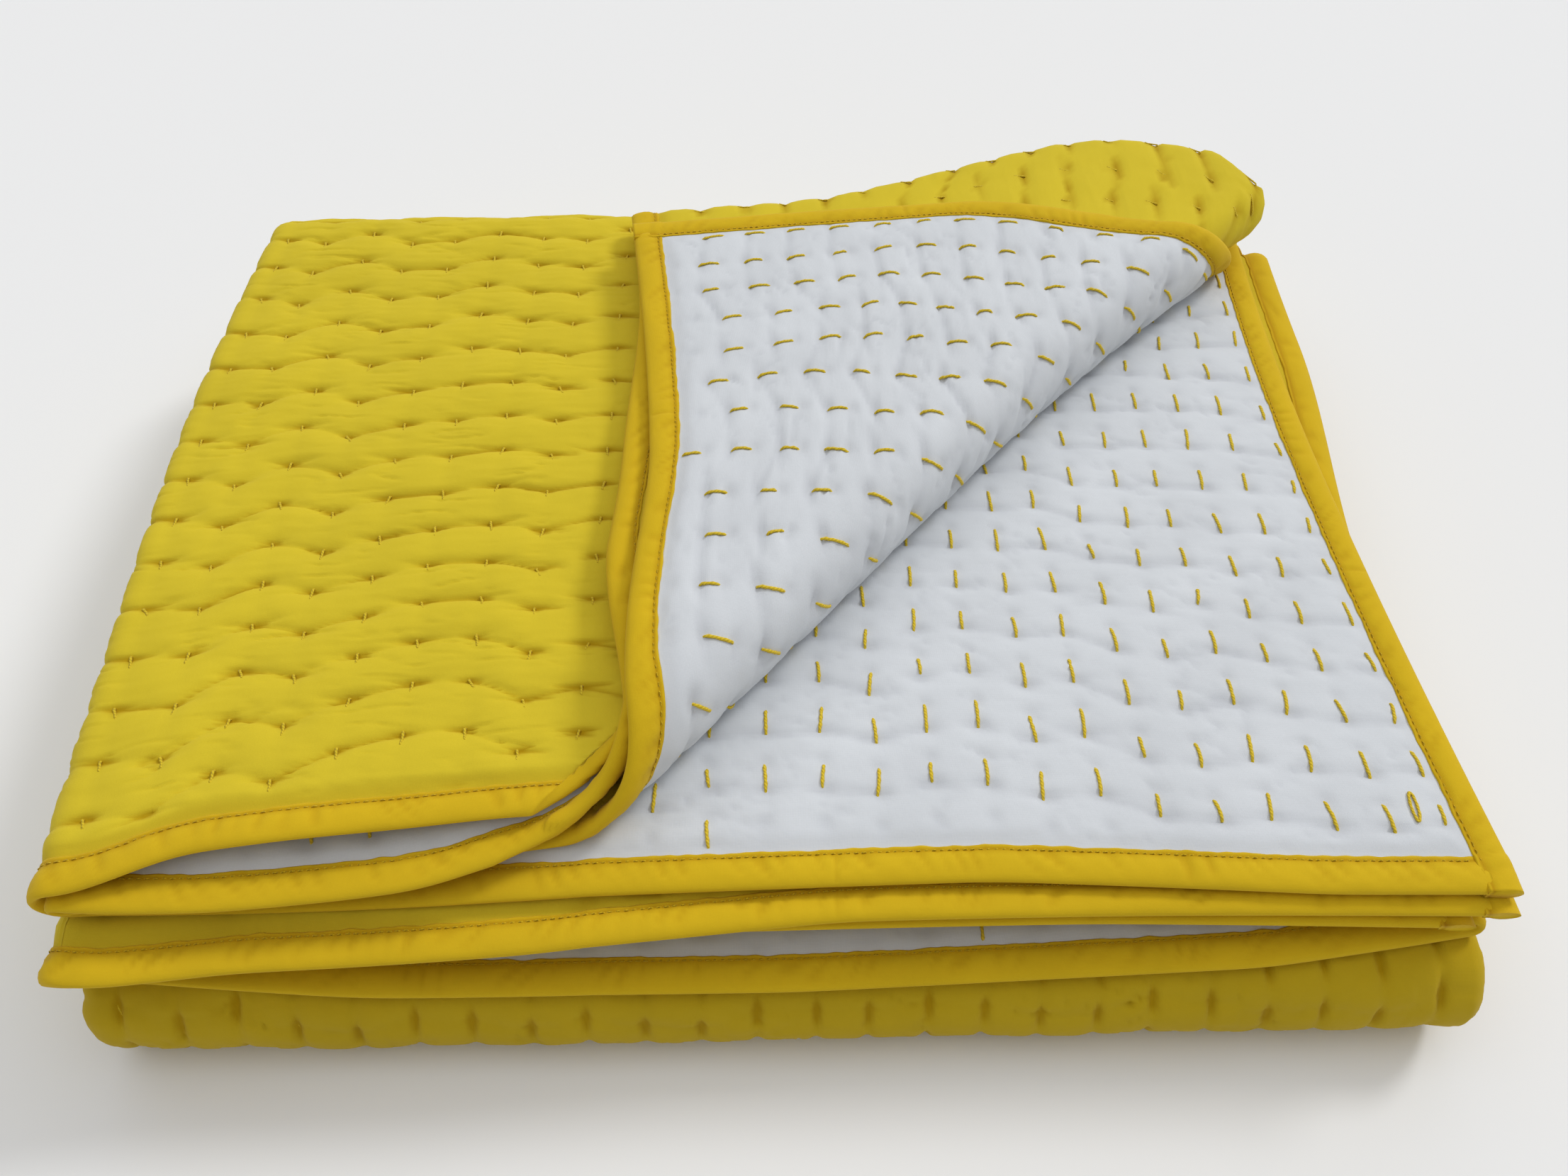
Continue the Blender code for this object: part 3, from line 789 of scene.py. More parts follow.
    def stitches(self, side: Side, length: tuple[float, float, float], spread: float) -> Stitches:
        """Lists the stitches seen on a face.

        Args:
            side: The face.
            length: The stitches' shortest, mean and longest length.
            spread: How much their lengths vary.

        Returns:
            The stitches of every row.
        """
        rng = np.random.default_rng(self.seed + 20 + (side is Side.WHITE))
        fine = np.linspace(0.0, self.sheet.length, 2400)
        rows = []
        places = []
        shift = -self.yellow_lag if side is Side.YELLOW else 0.5
        for row in range(self.rows):
            counted = self.phase(np.full_like(fine, float(row)), fine)
            numbers = np.arange(math.ceil(counted[0]), math.floor(counted[-1])) + shift
            found = np.interp(numbers, counted, fine)
            found = found[(found > self.stitched_from) & (found < self.sheet.length - self.stitched_from)]
            rows.append(np.full(len(found), float(row)))
            places.append(found)
        row = np.concatenate(rows)
        v = np.concatenate(places)
        drawn = rng.normal(length[1], spread, len(v))
        slant = rng.normal(0.0, 0.0005, len(v))
        if side is Side.YELLOW:
            x = self.sheet.columns(self.row_u(row, v))[0]
            slant = slant - 0.0028 * x
        return Stitches(row, v, np.clip(drawn, length[0], length[2]), slant)


def unit(vectors: Array) -> Array:
    """The same directions with a length of one."""
    return vectors / (np.linalg.norm(vectors, axis=-1, keepdims=True) + 1e-12)


def corners_of(ids: Array) -> list[Array]:
    """The four corners of every cell in grids of point numbers, turning from the first direction."""
    return [ids[..., :-1, :-1], ids[..., 1:, :-1], ids[..., 1:, 1:], ids[..., :-1, 1:]]


def put(name: str, data: bpy.types.ID) -> Piece:
    """Puts a new object in the scene.

    Args:
        name: Its name.
        data: Its mesh, light or camera.

    Returns:
        The object.
    """
    obj = bpy.data.objects.new(name, data)
    bpy.context.scene.collection.objects.link(obj)
    return obj


@dataclass(frozen=True)
class Dress:
    """What a piece is made of: its material and that material's slot."""

    material: Material
    slot: str

    def mesh(
        self, name: str, points: Array, quads: Array, places: Array, unshaded: Array, nodes: Names = ()
    ) -> Piece:
        """Makes a smooth piece of quads, on the quilt's body.

        Args:
            name: The piece's name.
            points: Its points.
            quads: Four point numbers a face.
            places: The points' places on the flat cloth, in metres.
            unshaded: From 0 where painted shade darkens a valley to 1 where none is painted, for each point.
            nodes: The nodes it stands for.

        Returns:
            The piece.
        """
        mesh = bpy.data.meshes.new(name)
        loops = quads.reshape(-1).astype(np.int32)
        mesh.vertices.add(len(points))
        mesh.vertices.foreach_set("co", points.astype(np.float32).reshape(-1))
        mesh.loops.add(len(loops))
        mesh.loops.foreach_set("vertex_index", loops)
        mesh.polygons.add(len(quads))
        mesh.polygons.foreach_set("loop_start", np.arange(0, len(loops), 4, dtype=np.int32))
        mesh.update(calc_edges=True)
        mesh.polygons.foreach_set("use_smooth", np.ones(len(quads), bool))
        uv = mesh.uv_layers.new(name="cloth")
        uv.data.foreach_set("uv", places[loops].astype(np.float32).reshape(-1))
        layer = mesh.attributes.new("unshaded", "FLOAT", "POINT")
        layer.data.foreach_set("value", unshaded.astype(np.float32))
        mesh.materials.append(self.material)
        mesh.update()
        obj = put(name, mesh)
        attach(obj, BODY)
        if nodes:
            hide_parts(*nodes)
        LOG.info("%s: %d quads", name, len(quads))
        return obj


def uneven_stations(low: float, high: float, step: float, zones: tuple[Zone, ...]) -> Array:
    """Spaces stations, closer in the zones.

    Args:
        low: The first station.
        high: The last station.
        step: The usual step.
        zones: Where a zone starts and ends, and its step.

    Returns:
        The stations.
    """
    found = [low]
    while found[-1] < high - TINY:
        here = found[-1]
        size = step
        ahead = high
        for start, end, close in zones:
            if start - TINY <= here < end - TINY:
                size = min(size, close)
                ahead = min(ahead, end)
            elif start > here:
                ahead = min(ahead, start)
        found.append(min(here + size, ahead) if ahead > here + TINY else here + size)
    return np.array(found)


@dataclass(frozen=True)
class Patch:
    """A part of a cloth face on the open cloth, with its steps across and along."""

    name: str
    u: tuple[float, float]
    v: tuple[float, float]
    steps: tuple[float, float]
    zones_u: tuple[Zone, ...] = ()
    zones_v: tuple[Zone, ...] = ()


@dataclass
class ClothFace:
    """One face of the quilted cloth: a wide piece with finer pieces let into it."""

    sheet: FoldedSheet
    plan: StitchPlan
    side: Side
    dress: Dress

    def build(self, patch: Patch, holes: tuple[Patch, ...] = (), nodes: Names = ()) -> Piece:
        """Builds a patch.

        Args:
            patch: Its range and steps.
            holes: Finer patches that take its place, less a small lap.
            nodes: The nodes it stands for.

        Returns:
            The piece.
        """
        u = uneven_stations(*patch.u, patch.steps[0], patch.zones_u)
        v = uneven_stations(*patch.v, patch.steps[1], patch.zones_v)
        grid_u, grid_v = np.meshgrid(u, v)
        off, unshaded = self.plan.off(self.side, grid_u, grid_v)
        points = self.sheet.place(grid_u, grid_v, self.side.value * off)
        ids = np.arange(grid_u.size).reshape(grid_u.shape)
        keep = np.ones((len(v) - 1, len(u) - 1), bool)
        for hole in holes:
            inside_u = (u[:-1] > hole.u[0]) & (u[1:] < hole.u[1])
            inside_v = (v[:-1] > hole.v[0]) & (v[1:] < hole.v[1])
            keep &= ~(inside_v[:, None] & inside_u[None, :])
        corners = corners_of(ids)
        if self.side is Side.WHITE:
            corners = corners[::-1]
        quads = np.stack([corner[keep] for corner in corners], axis=-1)
        used, quads = np.unique(quads, return_inverse=True)
        places = np.stack([grid_u.reshape(-1), grid_v.reshape(-1)], axis=-1)
        points = points.reshape(-1, 3)
        unshaded = unshaded.reshape(-1)
        quads = quads.reshape(-1, 4)
        return self.dress.mesh(patch.name, points[used], quads, places[used], unshaded[used], nodes)


@dataclass
class Binding:
    """Cotton strips wrapped round the four edges of the quilt.

    The half section gives distances past the finished edge and heights over the cloth's middle.
    """

    sheet: FoldedSheet
    dress: Dress
    half: tuple[tuple[float, float], ...] = (
        (-0.0125, 0.0011),
        (-0.0126, 0.0018),
        (-0.0119, 0.0021),
        (-0.0108, 0.0017),
        (-0.0098, 0.0021),
        (-0.0080, 0.0027),
        (-0.0055, 0.0030),
        (-0.0030, 0.0028),
        (-0.0008, 0.0023),
        (0.0008, 0.0014),
        (0.0016, 0.0004),
    )
    pucker: float = 0.00125
    pucker_step: float = 0.0086
    pucker_from_edge: float = 0.0088
    pucker_reach: float = 0.0062
    least: float = 0.0016
    most: float = 0.0031
    nose: float = 0.0012
    corner_length: float = 0.0125
    corner_rise: float = 0.00045
    end_press: float = 0.16
    joins: tuple[float, ...] = (0.150, 1.977)
    join_depth: float = 0.0006
    join_width: float = 0.0009
    seed: int = 71

    def ripple(self, s: Array, past: Array, off: Array) -> Array:
        """Adds slanting puckers to the section.

        Args:
            s: Places along the strip.
            past: Places across it.
            off: Its plain height over the cloth's middle.

        Returns:
            The puckered height.
        """
        uneven = Relief(self.seed)
        wander = 1.5 * uneven.at(s / 0.045, past / 0.03)
        phase = s / self.pucker_step + 0.9 * np.sign(off) * past / 0.012 + wander
        valley = (0.5 + 0.5 * np.cos(2.0 * math.pi * phase)) ** 2
        near_seam = np.exp(-(((past + self.pucker_from_edge) / self.pucker_reach) ** 2))
        size = (0.45 + 1.1 * uneven.at(s / 0.019 + 9.0, past * 0.0)).clip(0.0, 1.2)
        lumps = 0.00035 * uneven.at(s / 0.017 + 30.0, past / 0.008)
        for join in self.joins:
            lumps = lumps - self.join_depth * np.exp(-(((s - join) / self.join_width) ** 2))
        raised = lumps * (np.abs(off) > self.nose) - self.pucker * size * valley * near_seam
        least = np.minimum(np.abs(off), self.least)
        return np.sign(off) * np.clip(np.abs(off) + raised, least, self.most)

    def scallop(self, s: Array, across: Array) -> Array:
        """Draws the strip's inner edges in and out a little between its stitches.

        Args:
            s: Places along the strip.
            across: Places across it.

        Returns:
            The new places across it.
        """
        uneven = Relief(self.seed + 1)
        swing = 0.00050 * uneven.at(s / 0.0065, s * 0.0) + 0.0006 * uneven.at(s / 0.019 + 50.0, s * 0.0)
        return across + swing * smooth((-0.0085 - across) / 0.003)

    def build(self, edge: Edge, stations: Array) -> Piece:
        """Builds the binding of one edge, as one strip with closed ends.

        Args:
            edge: The edge it wraps.
            stations: Places along the strip.

        Returns:
            The piece.
        """
        sheet = self.sheet
        past = [place for place, _ in self.half]
        off = [height for _, height in self.half]
        off = np.array(off + [-height for height in off[::-1]])
        s, across = np.meshgrid(stations, np.array(past + past[::-1]), indexing="ij")
        across = self.scallop(s, across)
        plain = np.broadcast_to(off, s.shape)
        height = self.ripple(s, across, plain)
        if edge in (Edge.FLAP, Edge.FREE):
            lapped = 1.0 - smooth((s - self.corner_length) / 0.0010)
            height = height + self.corner_rise * lapped * np.sign(plain) * (np.abs(plain) > self.nose)
            inside = np.minimum(across, 0.0)
            u = sheet.width + inside if edge is Edge.FREE else -inside
            points = sheet.place(u, s, height, np.maximum(across, 0.0))
        else:
            side = np.minimum(s, sheet.width - s)
            under = 1.0 - self.end_press * (1.0 - smooth((side - 0.010) / 0.006))
            v = sheet.length + across if edge is Edge.SECOND else -across
            points = sheet.place(s, v, height * under)
        count, ring = s.shape
        ids = np.arange(count * ring).reshape(count, ring)
        ids = np.concatenate([ids, ids[:, :1]], axis=1)
        quads = np.stack(corners_of(ids), axis=-1).reshape(-1, 4)
        caps = []
        for row in (ids[0], ids[-1]):
            for k in range(ring // 2 - 1):
                caps.append((row[k], row[k + 1], row[ring - 2 - k], row[ring - 1 - k]))
        places = np.stack([s.reshape(-1), across.reshape(-1)], axis=-1)
        # Painted shade: the binding's colour darkens along the groove of its seam and where the puckers
        # press it down.
        seam_unshaded = 1.0 - np.exp(-(((across + 0.0108) / 0.0009) ** 2))
        sunk = np.clip((np.abs(plain) - np.abs(height) - 0.00015) / 0.0005, 0.0, 1.0)
        unshaded = seam_unshaded * (1.0 - 0.35 * sunk)
        name = f"{edge.value}_binding"
        quads = np.concatenate([quads, np.array(caps)])
        return self.dress.mesh(name, points.reshape(-1, 3), quads, places, unshaded.reshape(-1), (name,))


@dataclass
class Threads:
    """Tubes of thread laid over a face."""

    sheet: FoldedSheet
    plan: StitchPlan
    material: Material
    radius: float = 0.00075
    flatten: float = 0.75
    strand: float = 0.20
    strand_length: float = 0.0075
    place_step: float = 0.037
    lean: float = 0.0005
    stand: float = 0.00155
    white_sunk: float = 0.0012
    yellow_sunk: float = 0.0016
    front_sunk: float = 0.0007

    def lay(
        self, name: str, u: Array, v: Array, off: Array, outer: Array, radius: Array, sides: int
    ) -> Piece:
        """Sweeps tubes over a face.

        Args:
            name: The piece's name.
            u: Places across the cloth, one thread a row.
            v: Places along it.
            off: Heights over the cloth's middle.
            outer: Heights further out, which give the direction out of the cloth.
            radius: The tube's radius at every point.
            sides: How many sides a tube has.

        Returns:
            The piece.
        """
        points = self.sheet.place(u, v, off)
        normals = unit(self.sheet.place(u, v, outer) - points)
        tangent = unit(np.gradient(points, axis=1))
        across = unit(np.cross(tangent, normals))
        out = np.cross(across, tangent)
        angle = np.arange(sides) * 2.0 * math.pi / sides
        steps = np.linalg.norm(np.diff(points, axis=1), axis=-1)
        run = np.concatenate([np.zeros((len(points), 1)), np.cumsum(steps, axis=1)], axis=1)[:, :, None]
        twist = run * 2.0 * math.pi / self.strand_length
        size = radius[:, :, None] * (1.0 + self.strand * np.cos(2.0 * (angle - twist)))
        ring = (
            points[:, :, None, :]
            + (size * np.cos(angle))[..., None] * across[:, :, None, :]
            + (size * self.flatten * np.sin(angle))[..., None] * out[:, :, None, :]
        )
        count, rings = points.shape[:2]
        ids = np.arange(count * rings * sides).reshape(count, rings, sides)
        ids = np.concatenate([ids, ids[:, :, :1]], axis=2)
        quads = np.stack([ids[:, :-1, :-1], ids[:, :-1, 1:], ids[:, 1:, 1:], ids[:, 1:, :-1]], axis=-1)
        start = np.arange(count)[:, None, None] * self.place_step
        places = np.stack(np.broadcast_arrays(run + start, angle * 0.0008), axis=-1).reshape(-1, 2)
        unshaded = np.ones(count * rings * sides)
        dress = Dress(self.material, "quilting_thread")
        return dress.mesh(name, ring.reshape(-1, 3), quads.reshape(-1, 4), places, unshaded)

    def running(self, name: str, side: Side, found: Stitches, rings: int, sides: int) -> Piece:
        """Lays running stitches on a face.

        Args:
            name: The piece's name.
            side: The face.
            found: The stitches.
            rings: How many sections a stitch has.
            sides: How many sides its tube has.

        Returns:
            The piece.
        """
        t = np.linspace(-0.5, 0.5, rings)[None, :]
        t = np.sign(t) * np.abs(2.0 * t) ** 0.75 * 0.5
        v = found.v[:, None] + t * found.length[:, None]
        row = np.broadcast_to(found.row[:, None], v.shape)
        bow = 0.00035 * np.sin(3.0 * found.row[:, None] + 40.0 * found.v[:, None]) * (1.0 - 4.0 * t * t)
        u = self.plan.row_u(row, v) + found.slant[:, None] * 2.0 * t + bow
        face = self.plan.off(side, u, v)[0]
        held = smooth((0.5 - np.abs(t)) / 0.14)
        middle = np.maximum(face, face.mean(axis=1, keepdims=True))
        white = side is Side.WHITE
        sunk = self.white_sunk if white else self.yellow_sunk + self.front_sunk * self.plan.front(v)
        height = middle - sunk + held * self.stand
        thick = self.radius if white else 0.8 * self.radius
        radius = np.broadcast_to(thick * (0.78 + 0.22 * held), v.shape)
        return self.lay(name, u, v, side.value * height, side.value * (height + self.lean), radius, sides)


@dataclass
class Finish:
    """A finish's material, with short ways to add, set and join its nodes."""

    name: str

    def __post_init__(self) -> None:
        """Makes the material and finds its shader."""
        self.material = bpy.data.materials.new(self.name)
        self.material.use_nodes = True
        self.tree = self.material.node_tree
        self.shader = self.tree.nodes["Principled BSDF"]

    def set(self, node: bpy.types.Node, values: dict) -> None:
        """Gives a node's sockets their constants or their links.

        Args:
            node: The node.
            values: A constant or another node's output for each socket.
        """
        for key, value in values.items():
            if isinstance(value, bpy.types.NodeSocket):
                self.tree.links.new(value, node.inputs[key])
            else:
                node.inputs[key].default_value = value

    def add(self, kind: str, values: dict) -> bpy.types.Node:
        """Adds a node.

        Args:
            kind: Its kind.
            values: A constant or another node's output for each socket.

        Returns:
            The node.
        """
        node = self.tree.nodes.new(f"ShaderNode{kind}")
        self.set(node, values)
        return node

    def place(self) -> bpy.types.NodeSocket:
        """Adds the place on the flat cloth.

        Returns:
            Its output.
        """
        node = self.add("UVMap", {})
        node.uv_map = "cloth"
        return node.outputs["UV"]

    def mix(self, amount: bpy.types.NodeSocket, low: Colour, high: Colour) -> bpy.types.NodeSocket:
        """Mixes two colours.

        Args:
            amount: From 0 for the first colour to 1 for the second.
            low: The first colour.
            high: The second colour.

        Returns:
            The mixed colour's output.
        """
        node = self.add("Mix", {0: amount, 6: (*low, 1.0), 7: (*high, 1.0)})
        node.data_type = "RGBA"
        return node.outputs[2]


@dataclass(frozen=True)
class ClothFinish:
    """A plain-woven cotton with a fine grain."""

    name: str
    colour: Colour
    # The colour mixed in as painted shade over valleys, creases and the front fold.
    valley: Colour
    roughness: float
    grain: float
    sheen: float
    crumple: float
    weave_scale: float = 620.0
    specular: float = 0.11

    def material(self) -> Material:
        """Makes the finish.

        Returns:
            The material.
        """
        made = Finish(self.name)
        shader = {"Roughness": self.roughness, "Specular IOR Level": self.specular}
        made.set(made.shader, shader | {"Sheen Weight": self.sheen, "Sheen Roughness": 0.5})
        place = made.place()
        # Painted shade: the attribute mixes the valley colour, at 0, towards the cloth's own colour, at 1.
        unshaded = made.add("Attribute", {})
        unshaded.attribute_name = "unshaded"
        tone = made.mix(unshaded.outputs["Fac"], self.valley, self.colour)
        patches = made.add("TexNoise", {"Scale": 22.0, "Detail": 5.0, "Vector": place})
        span = {"From Min": 0.3, "From Max": 0.7, "To Min": 0.955, "To Max": 1.03}
        span = made.add("MapRange", span | {"Value": patches.outputs["Fac"]})
        bright = made.add("HueSaturation", {"Value": span.outputs["Result"], "Color": tone})
        weave = made.add("Math", {})
        weave.operation = "MULTIPLY"
        for index, direction in enumerate("XY"):
            wave = {"Scale": self.weave_scale, "Distortion": 1.2, "Detail": 1.0, "Vector": place}
            wave = made.add("TexWave", wave)
            wave.bands_direction = direction
            made.set(weave, {index: wave.outputs["Fac"]})
        grain = made.add("TexNoise", {"Scale": 480.0, "Detail": 4.0, "Vector": place})
        stretch = made.add("Mapping", {"Scale": (46.0, 150.0, 1.0), "Vector": place})
        crumple = {"Scale": 1.0, "Detail": 3.0, "Vector": stretch.outputs["Vector"]}
        crumple = made.add("TexNoise", crumple)
        crumple.noise_type = "RIDGED_MULTIFRACTAL"
        bumps = (
            (weave, 0.35, 0.00010),
            (grain, self.grain, 0.00016),
            (crumple, self.crumple, 0.0006),
        )
        last = {}
        for source, strength, distance in bumps:
            values = {"Strength": strength, "Distance": distance, "Height": source.outputs[0]}
            last = {"Normal": made.add("Bump", values | last).outputs["Normal"]}
        made.set(made.shader, {"Base Color": bright.outputs["Color"]} | last)
        return made.material


@dataclass(frozen=True)
class ThreadFinish:
    """A matt cotton thread with slanting strands."""

    name: str
    colour: Colour
    twist: float
    shade: float = 0.78

    def material(self) -> Material:
        """Makes the finish.

        Returns:
            The material.
        """
        made = Finish(self.name)
        made.set(made.shader, {"Roughness": 0.8, "Specular IOR Level": 0.25, "Sheen Weight": 0.1})
        turn = made.add("Mapping", {"Rotation": (0.0, 0.0, self.twist), "Vector": made.place()})
        wave = {"Scale": 260.0, "Distortion": 0.8, "Vector": turn.outputs["Vector"]}
        wave = made.add("TexWave", wave).outputs["Fac"]
        # Painted shade: the thread darkens by the factor shade between its strands.
        low = tuple(self.shade * part for part in self.colour)
        bump = made.add("Bump", {"Strength": 0.5, "Distance": 0.0003, "Height": wave})
        tone = made.mix(wave, low, self.colour)
        made.set(made.shader, {"Base Color": tone, "Normal": bump.outputs["Normal"]})
        return made.material


@dataclass(frozen=True)
class Studio:
    """A pale floor under soft light, and the camera."""

    floor_half: float = 60.0
    focal: float = 26.64
    sensor: float = 36.0
    place: tuple[float, float, float] = (-0.0077, -0.4162, 0.509)
    pitch: float = 51.0
    yaw: float = 1.1
    roll: float = 0.004
    overhead: tuple[float, float, float, float] = (1.36, 1.7, -14.0, 4.0)
    key: tuple[float, float, float, float] = (1.05, 0.24, -26.0, 44.0)
    sky: float = 0.27

    def floor(self) -> None:
        """A wide flat floor just under the quilt."""
        mesh = bpy.data.meshes.new("floor")
        half = self.floor_half
        corners = [(-half, -half, 0.0), (half, -half, 0.0), (half, half, 0.0), (-half, half, 0.0)]
        mesh.from_pydata(corners, [], [(0, 1, 2, 3)])
        made = Finish("floor_white")
        plain = {"Base Color": (0.92, 0.92, 0.92, 1.0), "Roughness": 0.9, "Specular IOR Level": 0.1}
        made.set(made.shader, plain)
        mesh.materials.append(made.material)
        put("floor", mesh)

    def lights(self) -> None:
        """A soft overhead light, and a key from the back right, in an even sky."""
        for name, lamp in (("overhead", self.overhead), ("key", self.key)):
            sun = bpy.data.lights.new(name, "SUN")
            sun.energy, sun.angle, tilt_x, tilt_y = lamp
            obj = put(name, sun)
            obj.rotation_euler = (math.radians(tilt_x), math.radians(tilt_y), 0.0)
        world = bpy.data.worlds.new("sky")
        world.use_nodes = True
        background = world.node_tree.nodes["Background"]
        background.inputs["Color"].default_value = (0.97, 0.985, 1.0, 1.0)
        background.inputs["Strength"].default_value = self.sky
        bpy.context.scene.world = world

    def camera(self) -> None:
        """Sets the camera at the viewing place, looking down on the quilt's front."""
        data = bpy.data.cameras.new("camera")
        data.sensor_width = self.sensor
        data.lens = self.focal
        obj = put("camera", data)
        turn = Matrix.Rotation(-math.radians(self.yaw), 4, "Z")
        tip = Matrix.Rotation(math.radians(90.0 - self.pitch), 4, "X")
        roll = Matrix.Rotation(self.roll, 4, "Z")
        obj.matrix_world = Matrix.Translation(self.place) @ turn @ tip @ roll
        bpy.context.scene.camera = obj


# Each cloth's second colour is its painted shade: darker, and deeper orange in the yellow cloths.
YELLOW = ClothFinish("quilted_cotton", (0.71, 0.550, 0.028), (0.46, 0.285, 0.003), 0.9, 0.5, 0.05, 0.5)
WHITE = ClothFinish("back_cotton", (0.71, 0.735, 0.765), (0.60, 0.62, 0.655), 0.9, 0.45, 0.05, 0.35)
BINDING = ClothFinish("binding_cotton", (0.70, 0.465, 0.012), (0.50, 0.28, 0.003), 0.85, 0.4, 0.05, 0.3)
THREAD = ThreadFinish("quilting_thread", (0.84, 0.60, 0.030), 0.7)
# A darker copy of the quilting thread: painted shade for the stitches sunk in the yellow face's pits.
SHADED_SUNK_THREAD = ThreadFinish("quilting_thread_face", (0.76, 0.56, 0.020), 0.7)
SEAM_THREAD = ThreadFinish("seam_thread", (0.72, 0.49, 0.008), 0.5)


@dataclass
class Quilt:
    """The whole folded quilt."""

    flat: tuple[float, float] = (2.24, 1.84)
    edge_start: float = 0.0040
    lap: float = 0.012
    wide_step: float = 0.0115
    turn_step: float = 0.0018
    edge_step: float = 0.0036
    flap_to_x: float = -0.13
    bed_from_x: float = -0.16
    underside_from_x: float = 0.15
    near_end: float = 0.12
    far_end: float = 0.11
    binding_past: float = 0.0016
    binding_inset: float = 0.0095
    seam_inset: float = 0.0108
    seam_step: float = 0.0031
    seam_half: float = 0.0011
    seam_radius: float = 0.00034
    loop_v: float = 0.0320
    loop_inset: float = 0.0285
    loop_half_length: float = 0.0060
    loop_half_width: float = 0.0013
    loop_radius: float = 0.0006

    def __post_init__(self) -> None:
        """Makes the folds, the stitch plan and the quilting thread's finish."""
        self.sheet = FoldedSheet()
        self.plan = StitchPlan(self.sheet)
        self.thread = Threads(self.sheet, self.plan, THREAD.material())

    def wide_zones(self) -> tuple[tuple[Zone, ...], tuple[Zone, ...]]:
        """Closer stations for turns, bends and edges of the wide pieces.

        Returns:
            The zones across the cloth and those along it.
        """
        sheet = self.sheet
        width = sheet.width
        long_layer = sheet.right_turn_x - sheet.left_turn_x
        across = (
            (self.edge_start, 0.026, self.edge_step),
            (sheet.start_2 - 0.5 * math.pi * sheet.pitch, sheet.start_2, self.turn_step),
            (sheet.start_2 + long_layer, sheet.start_1, self.turn_step),
            (sheet.start_1 + long_layer, sheet.start_4, 0.0032),
            (width - 0.026, width - self.edge_start, self.edge_step),
        )
        marks = sheet.marks
        along = (
            (self.edge_start, 0.026, self.edge_step),
            (marks[1], marks[2], 0.0065),
            (marks[3], marks[4], 0.0040),
            (marks[5], marks[6], 0.0045),
            (sheet.length - 0.060, sheet.length - self.edge_start, self.edge_step),
        )
        return across, along

    def face(self, side: Side, finish: ClothFinish, finer: tuple[Patch, ...]) -> list[Piece]:
        """Builds a face of the cloth.

        Args:
            side: Which face.
            finish: Its finish.
            finer: The patches that are let in where the face is seen close.

        Returns:
            The wide piece and the finer ones.
        """
        sheet = self.sheet
        start = self.edge_start
        maker = ClothFace(sheet, self.plan, side, Dress(finish.material(), finish.name))
        made = [maker.build(patch) for patch in finer]
        ranges = ((start, sheet.width - start), (start, sheet.length - start))
        steps = (self.wide_step, self.wide_step)
        wide = Patch(f"{side.name.lower()}_face", *ranges, steps, *self.wide_zones())
        return [maker.build(wide, finer, ("quilt_body",)), *made]

    def yellow_face(self) -> list[Piece]:
        """The yellow face: the wide piece, and finer ones where it is seen close.

        Returns:
            The wide piece and the finer ones.
        """
        sheet = self.sheet
        start = self.edge_start
        marks = sheet.marks
        turn = (sheet.start_1 - 0.5 * math.pi * sheet.pitch, sheet.start_1, self.turn_step)
        top_u = (sheet.across(1, -0.045), sheet.start_4 + 0.012)
        under_u = (sheet.across(2, self.underside_from_x), sheet.across(1, -0.050))
        front_u = (sheet.start_1 - 0.006, sheet.start_4 + 0.006)
        lower_u = (sheet.start_4 - 0.005, sheet.width - start)
        top_v = (start, marks[2] + self.lap)
        front_v = (marks[3] - 0.016, marks[4] + 0.016)
        lower_v = (sheet.length - self.far_end, sheet.length - start)
        finer = (
            Patch("yellow_top", top_u, top_v, (0.0029, 0.0009)),
            Patch("yellow_flap_underside", under_u, top_v, (0.0042, 0.0040), (turn,)),
            Patch("yellow_front_fold", front_u, front_v, (0.0012, 0.0020)),
            Patch("yellow_lower_end", lower_u, lower_v, (0.0035, 0.0030)),
        )
        return self.face(Side.YELLOW, YELLOW, finer)

    def white_face(self) -> list[Piece]:
        """The white back: the wide piece, and finer ones where it is seen close.

        Returns:
            The wide piece and the finer ones.
        """
        sheet = self.sheet
        start = self.edge_start
        top_v = (start, sheet.marks[1] + self.lap)
        flap_u = (start, sheet.across(3, self.flap_to_x))
        bed_u = (sheet.across(4, self.bed_from_x), sheet.width - start)
        mouth_u = (sheet.start_2 - 0.008, sheet.start_2 + 0.20)
        lower_u = (sheet.start_1 - 0.004, sheet.start_4 - 0.020)
        lower_v = (sheet.length - 0.10, sheet.length - start)
        finer = (
            Patch("white_flap", flap_u, top_v, (0.0021, 0.0021)),
            Patch("white_bed", bed_u, top_v, (0.0021, 0.0021)),
            Patch("white_mouth", mouth_u, (start, self.near_end), (0.0030, 0.0030)),
            Patch("white_lower_mouth", lower_u, lower_v, (0.0035, 0.0030)),
        )
        return self.face(Side.WHITE, WHITE, finer)

    def bindings(self) -> list[Piece]:
        """The four bindings.

        Returns:
            The pieces.
        """
        sheet = self.sheet
        marks = sheet.marks
        past = self.binding_past
        seen = (
            (-past, marks[1], 0.0012),
            (marks[5], marks[6], 0.0040),
            (sheet.length - 0.07, sheet.length + past, 0.003),
        )
        along = uneven_stations(-past, sheet.length + past, 0.0055, seen)
        turn = self.wide_zones()[0][1:2]
        inset = self.binding_inset
        ends = [uneven_stations(inset, sheet.width - inset, step, turn) for step in (0.0013, 0.0017)]
        maker = Binding(sheet, Dress(BINDING.material(), BINDING.name))
        return [maker.build(edge, places) for edge, places in zip(Edge, (along, along, *ends))]

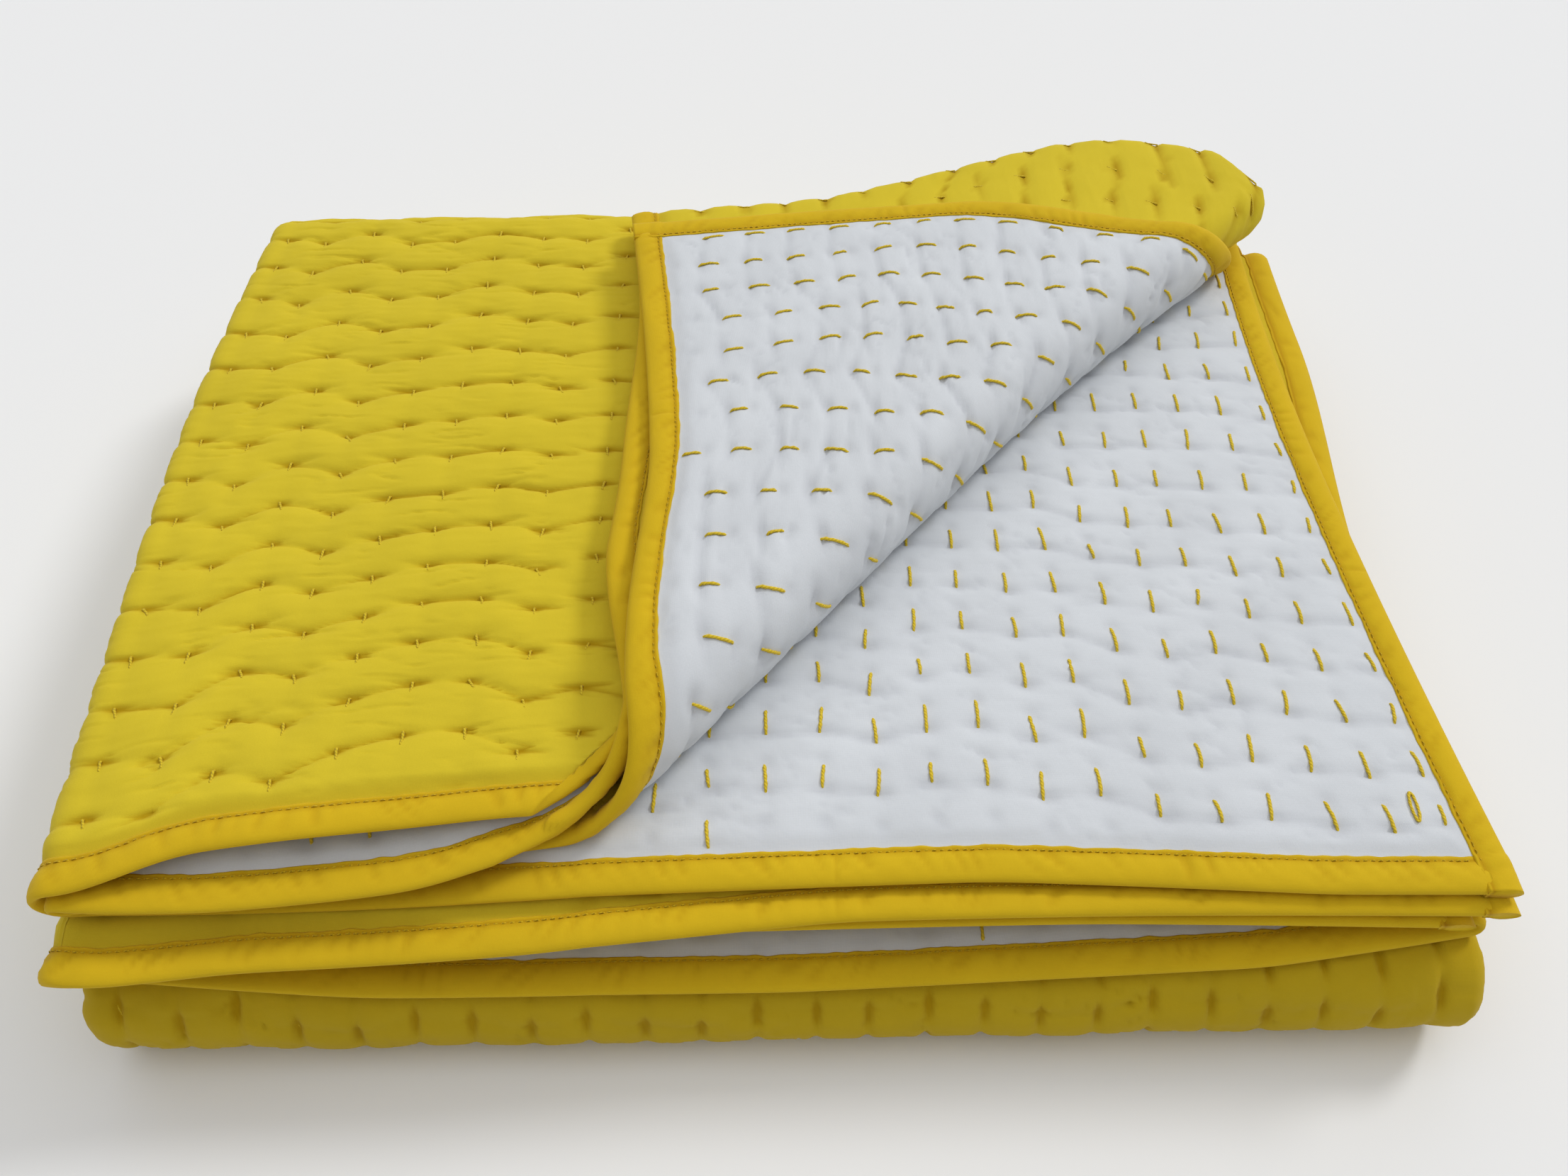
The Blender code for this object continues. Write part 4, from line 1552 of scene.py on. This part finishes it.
    def seams(self) -> list[Piece]:
        """Machine stitches along the bindings' seams.

        Returns:
            A piece for each binding and face.
        """
        sheet = self.sheet
        threads = Threads(sheet, self.plan, SEAM_THREAD.material())
        t = np.linspace(-self.seam_half, self.seam_half, 4)[None, :]
        height = np.array([0.0015, 0.00205, 0.00205, 0.0015])[None, :]
        ends = np.arange(0.014, sheet.width - 0.014, self.seam_step)[:, None] + t
        sides = np.arange(0.002, sheet.marks[1], self.seam_step)[:, None] + t
        inner = self.seam_inset
        lines = (
            (Edge.FIRST, ends, np.full_like(ends, inner)),
            (Edge.SECOND, ends, np.full_like(ends, sheet.length - inner)),
            (Edge.FLAP, np.full_like(sides, inner), sides),
            (Edge.FREE, np.full_like(sides, sheet.width - inner), sides),
        )
        made = []
        for edge, u, v in lines:
            radius = np.full(u.shape, self.seam_radius)
            for side in Side:
                off = np.broadcast_to(height * side.value, u.shape)
                name = f"{edge.value}_seam_{side.name.lower()}"
                made.append(threads.lay(name, u, v, off, off * 1.2, radius, 3))
        return made

    def running_stitches(self) -> list[Piece]:
        """The quilting thread on both faces, where it can be seen.

        Returns:
            The pieces.
        """
        sheet = self.sheet
        marks = sheet.marks
        white = self.plan.stitches(Side.WHITE, (0.0080, 0.0115, 0.0145), 0.0016)
        u = self.plan.row_u(white.row, white.v)
        flap_or_bed = (u < sheet.across(3, self.flap_to_x)) | (u > sheet.across(4, self.bed_from_x))
        top = (white.v < marks[1]) & flap_or_bed
        other = ~top & ((white.v < self.near_end) | (white.v > sheet.length - self.far_end))
        yellow = self.plan.stitches(Side.YELLOW, (0.0048, 0.0070, 0.0095), 0.0010)
        u = self.plan.row_u(yellow.row, yellow.v)
        v = yellow.v
        on_top = (v < marks[2] + 0.03) & (u > sheet.across(2, self.underside_from_x)) & (u < sheet.start_4)
        on_front = (v > marks[3] - 0.02) & (v < marks[4] + 0.02) & (u > sheet.start_1 - 0.01)
        pick = on_top | on_front | (v > sheet.length - self.far_end)
        # The yellow face's stitches take the darker copy of the thread: painted shade.
        sunk = Threads(sheet, self.plan, SHADED_SUNK_THREAD.material())
        return [
            self.thread.running("white_top_stitches", Side.WHITE, white.some(top), 11, 7),
            self.thread.running("white_edge_stitches", Side.WHITE, white.some(other), 7, 5),
            sunk.running("yellow_stitches", Side.YELLOW, yellow.some(pick), 7, 5),
        ]

    def loose_loop(self) -> Piece:
        """A loose stitch that stands in a small loop, near the front right corner of the bed.

        Returns:
            The piece.
        """
        turn = np.linspace(-0.62, 1.40, 30)[None, :] * math.pi
        v = self.loop_v - self.loop_half_length * np.sin(turn)
        middle = self.sheet.width - self.loop_inset
        u = middle + self.loop_half_width * np.cos(turn) + 0.12 * (v - self.loop_v)
        height = -(self.plan.off(Side.WHITE, u, v)[0] + self.loop_radius)
        radius = np.full(u.shape, self.loop_radius)
        return self.thread.lay("loose_stitch", u, v, height, height - 0.0005, radius, 8)

    def build(self) -> None:
        yellow = self.yellow_face()
        white = self.white_face()
        trim = self.bindings()
        threads = [*self.running_stitches(), *self.seams(), self.loose_loop()]


def main() -> None:
    """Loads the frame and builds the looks."""
    logging.basicConfig(level=logging.INFO, format="%(message)s")
    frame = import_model()
    LOG.info("The frame has the nodes %s.", ", ".join(sorted(frame["nodes"])))
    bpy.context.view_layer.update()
    Quilt().build()
    studio = Studio()
    studio.floor()
    studio.lights()
    studio.camera()
    bpy.context.scene.view_settings.view_transform = "Standard"


if __name__ == "__main__":
    main()
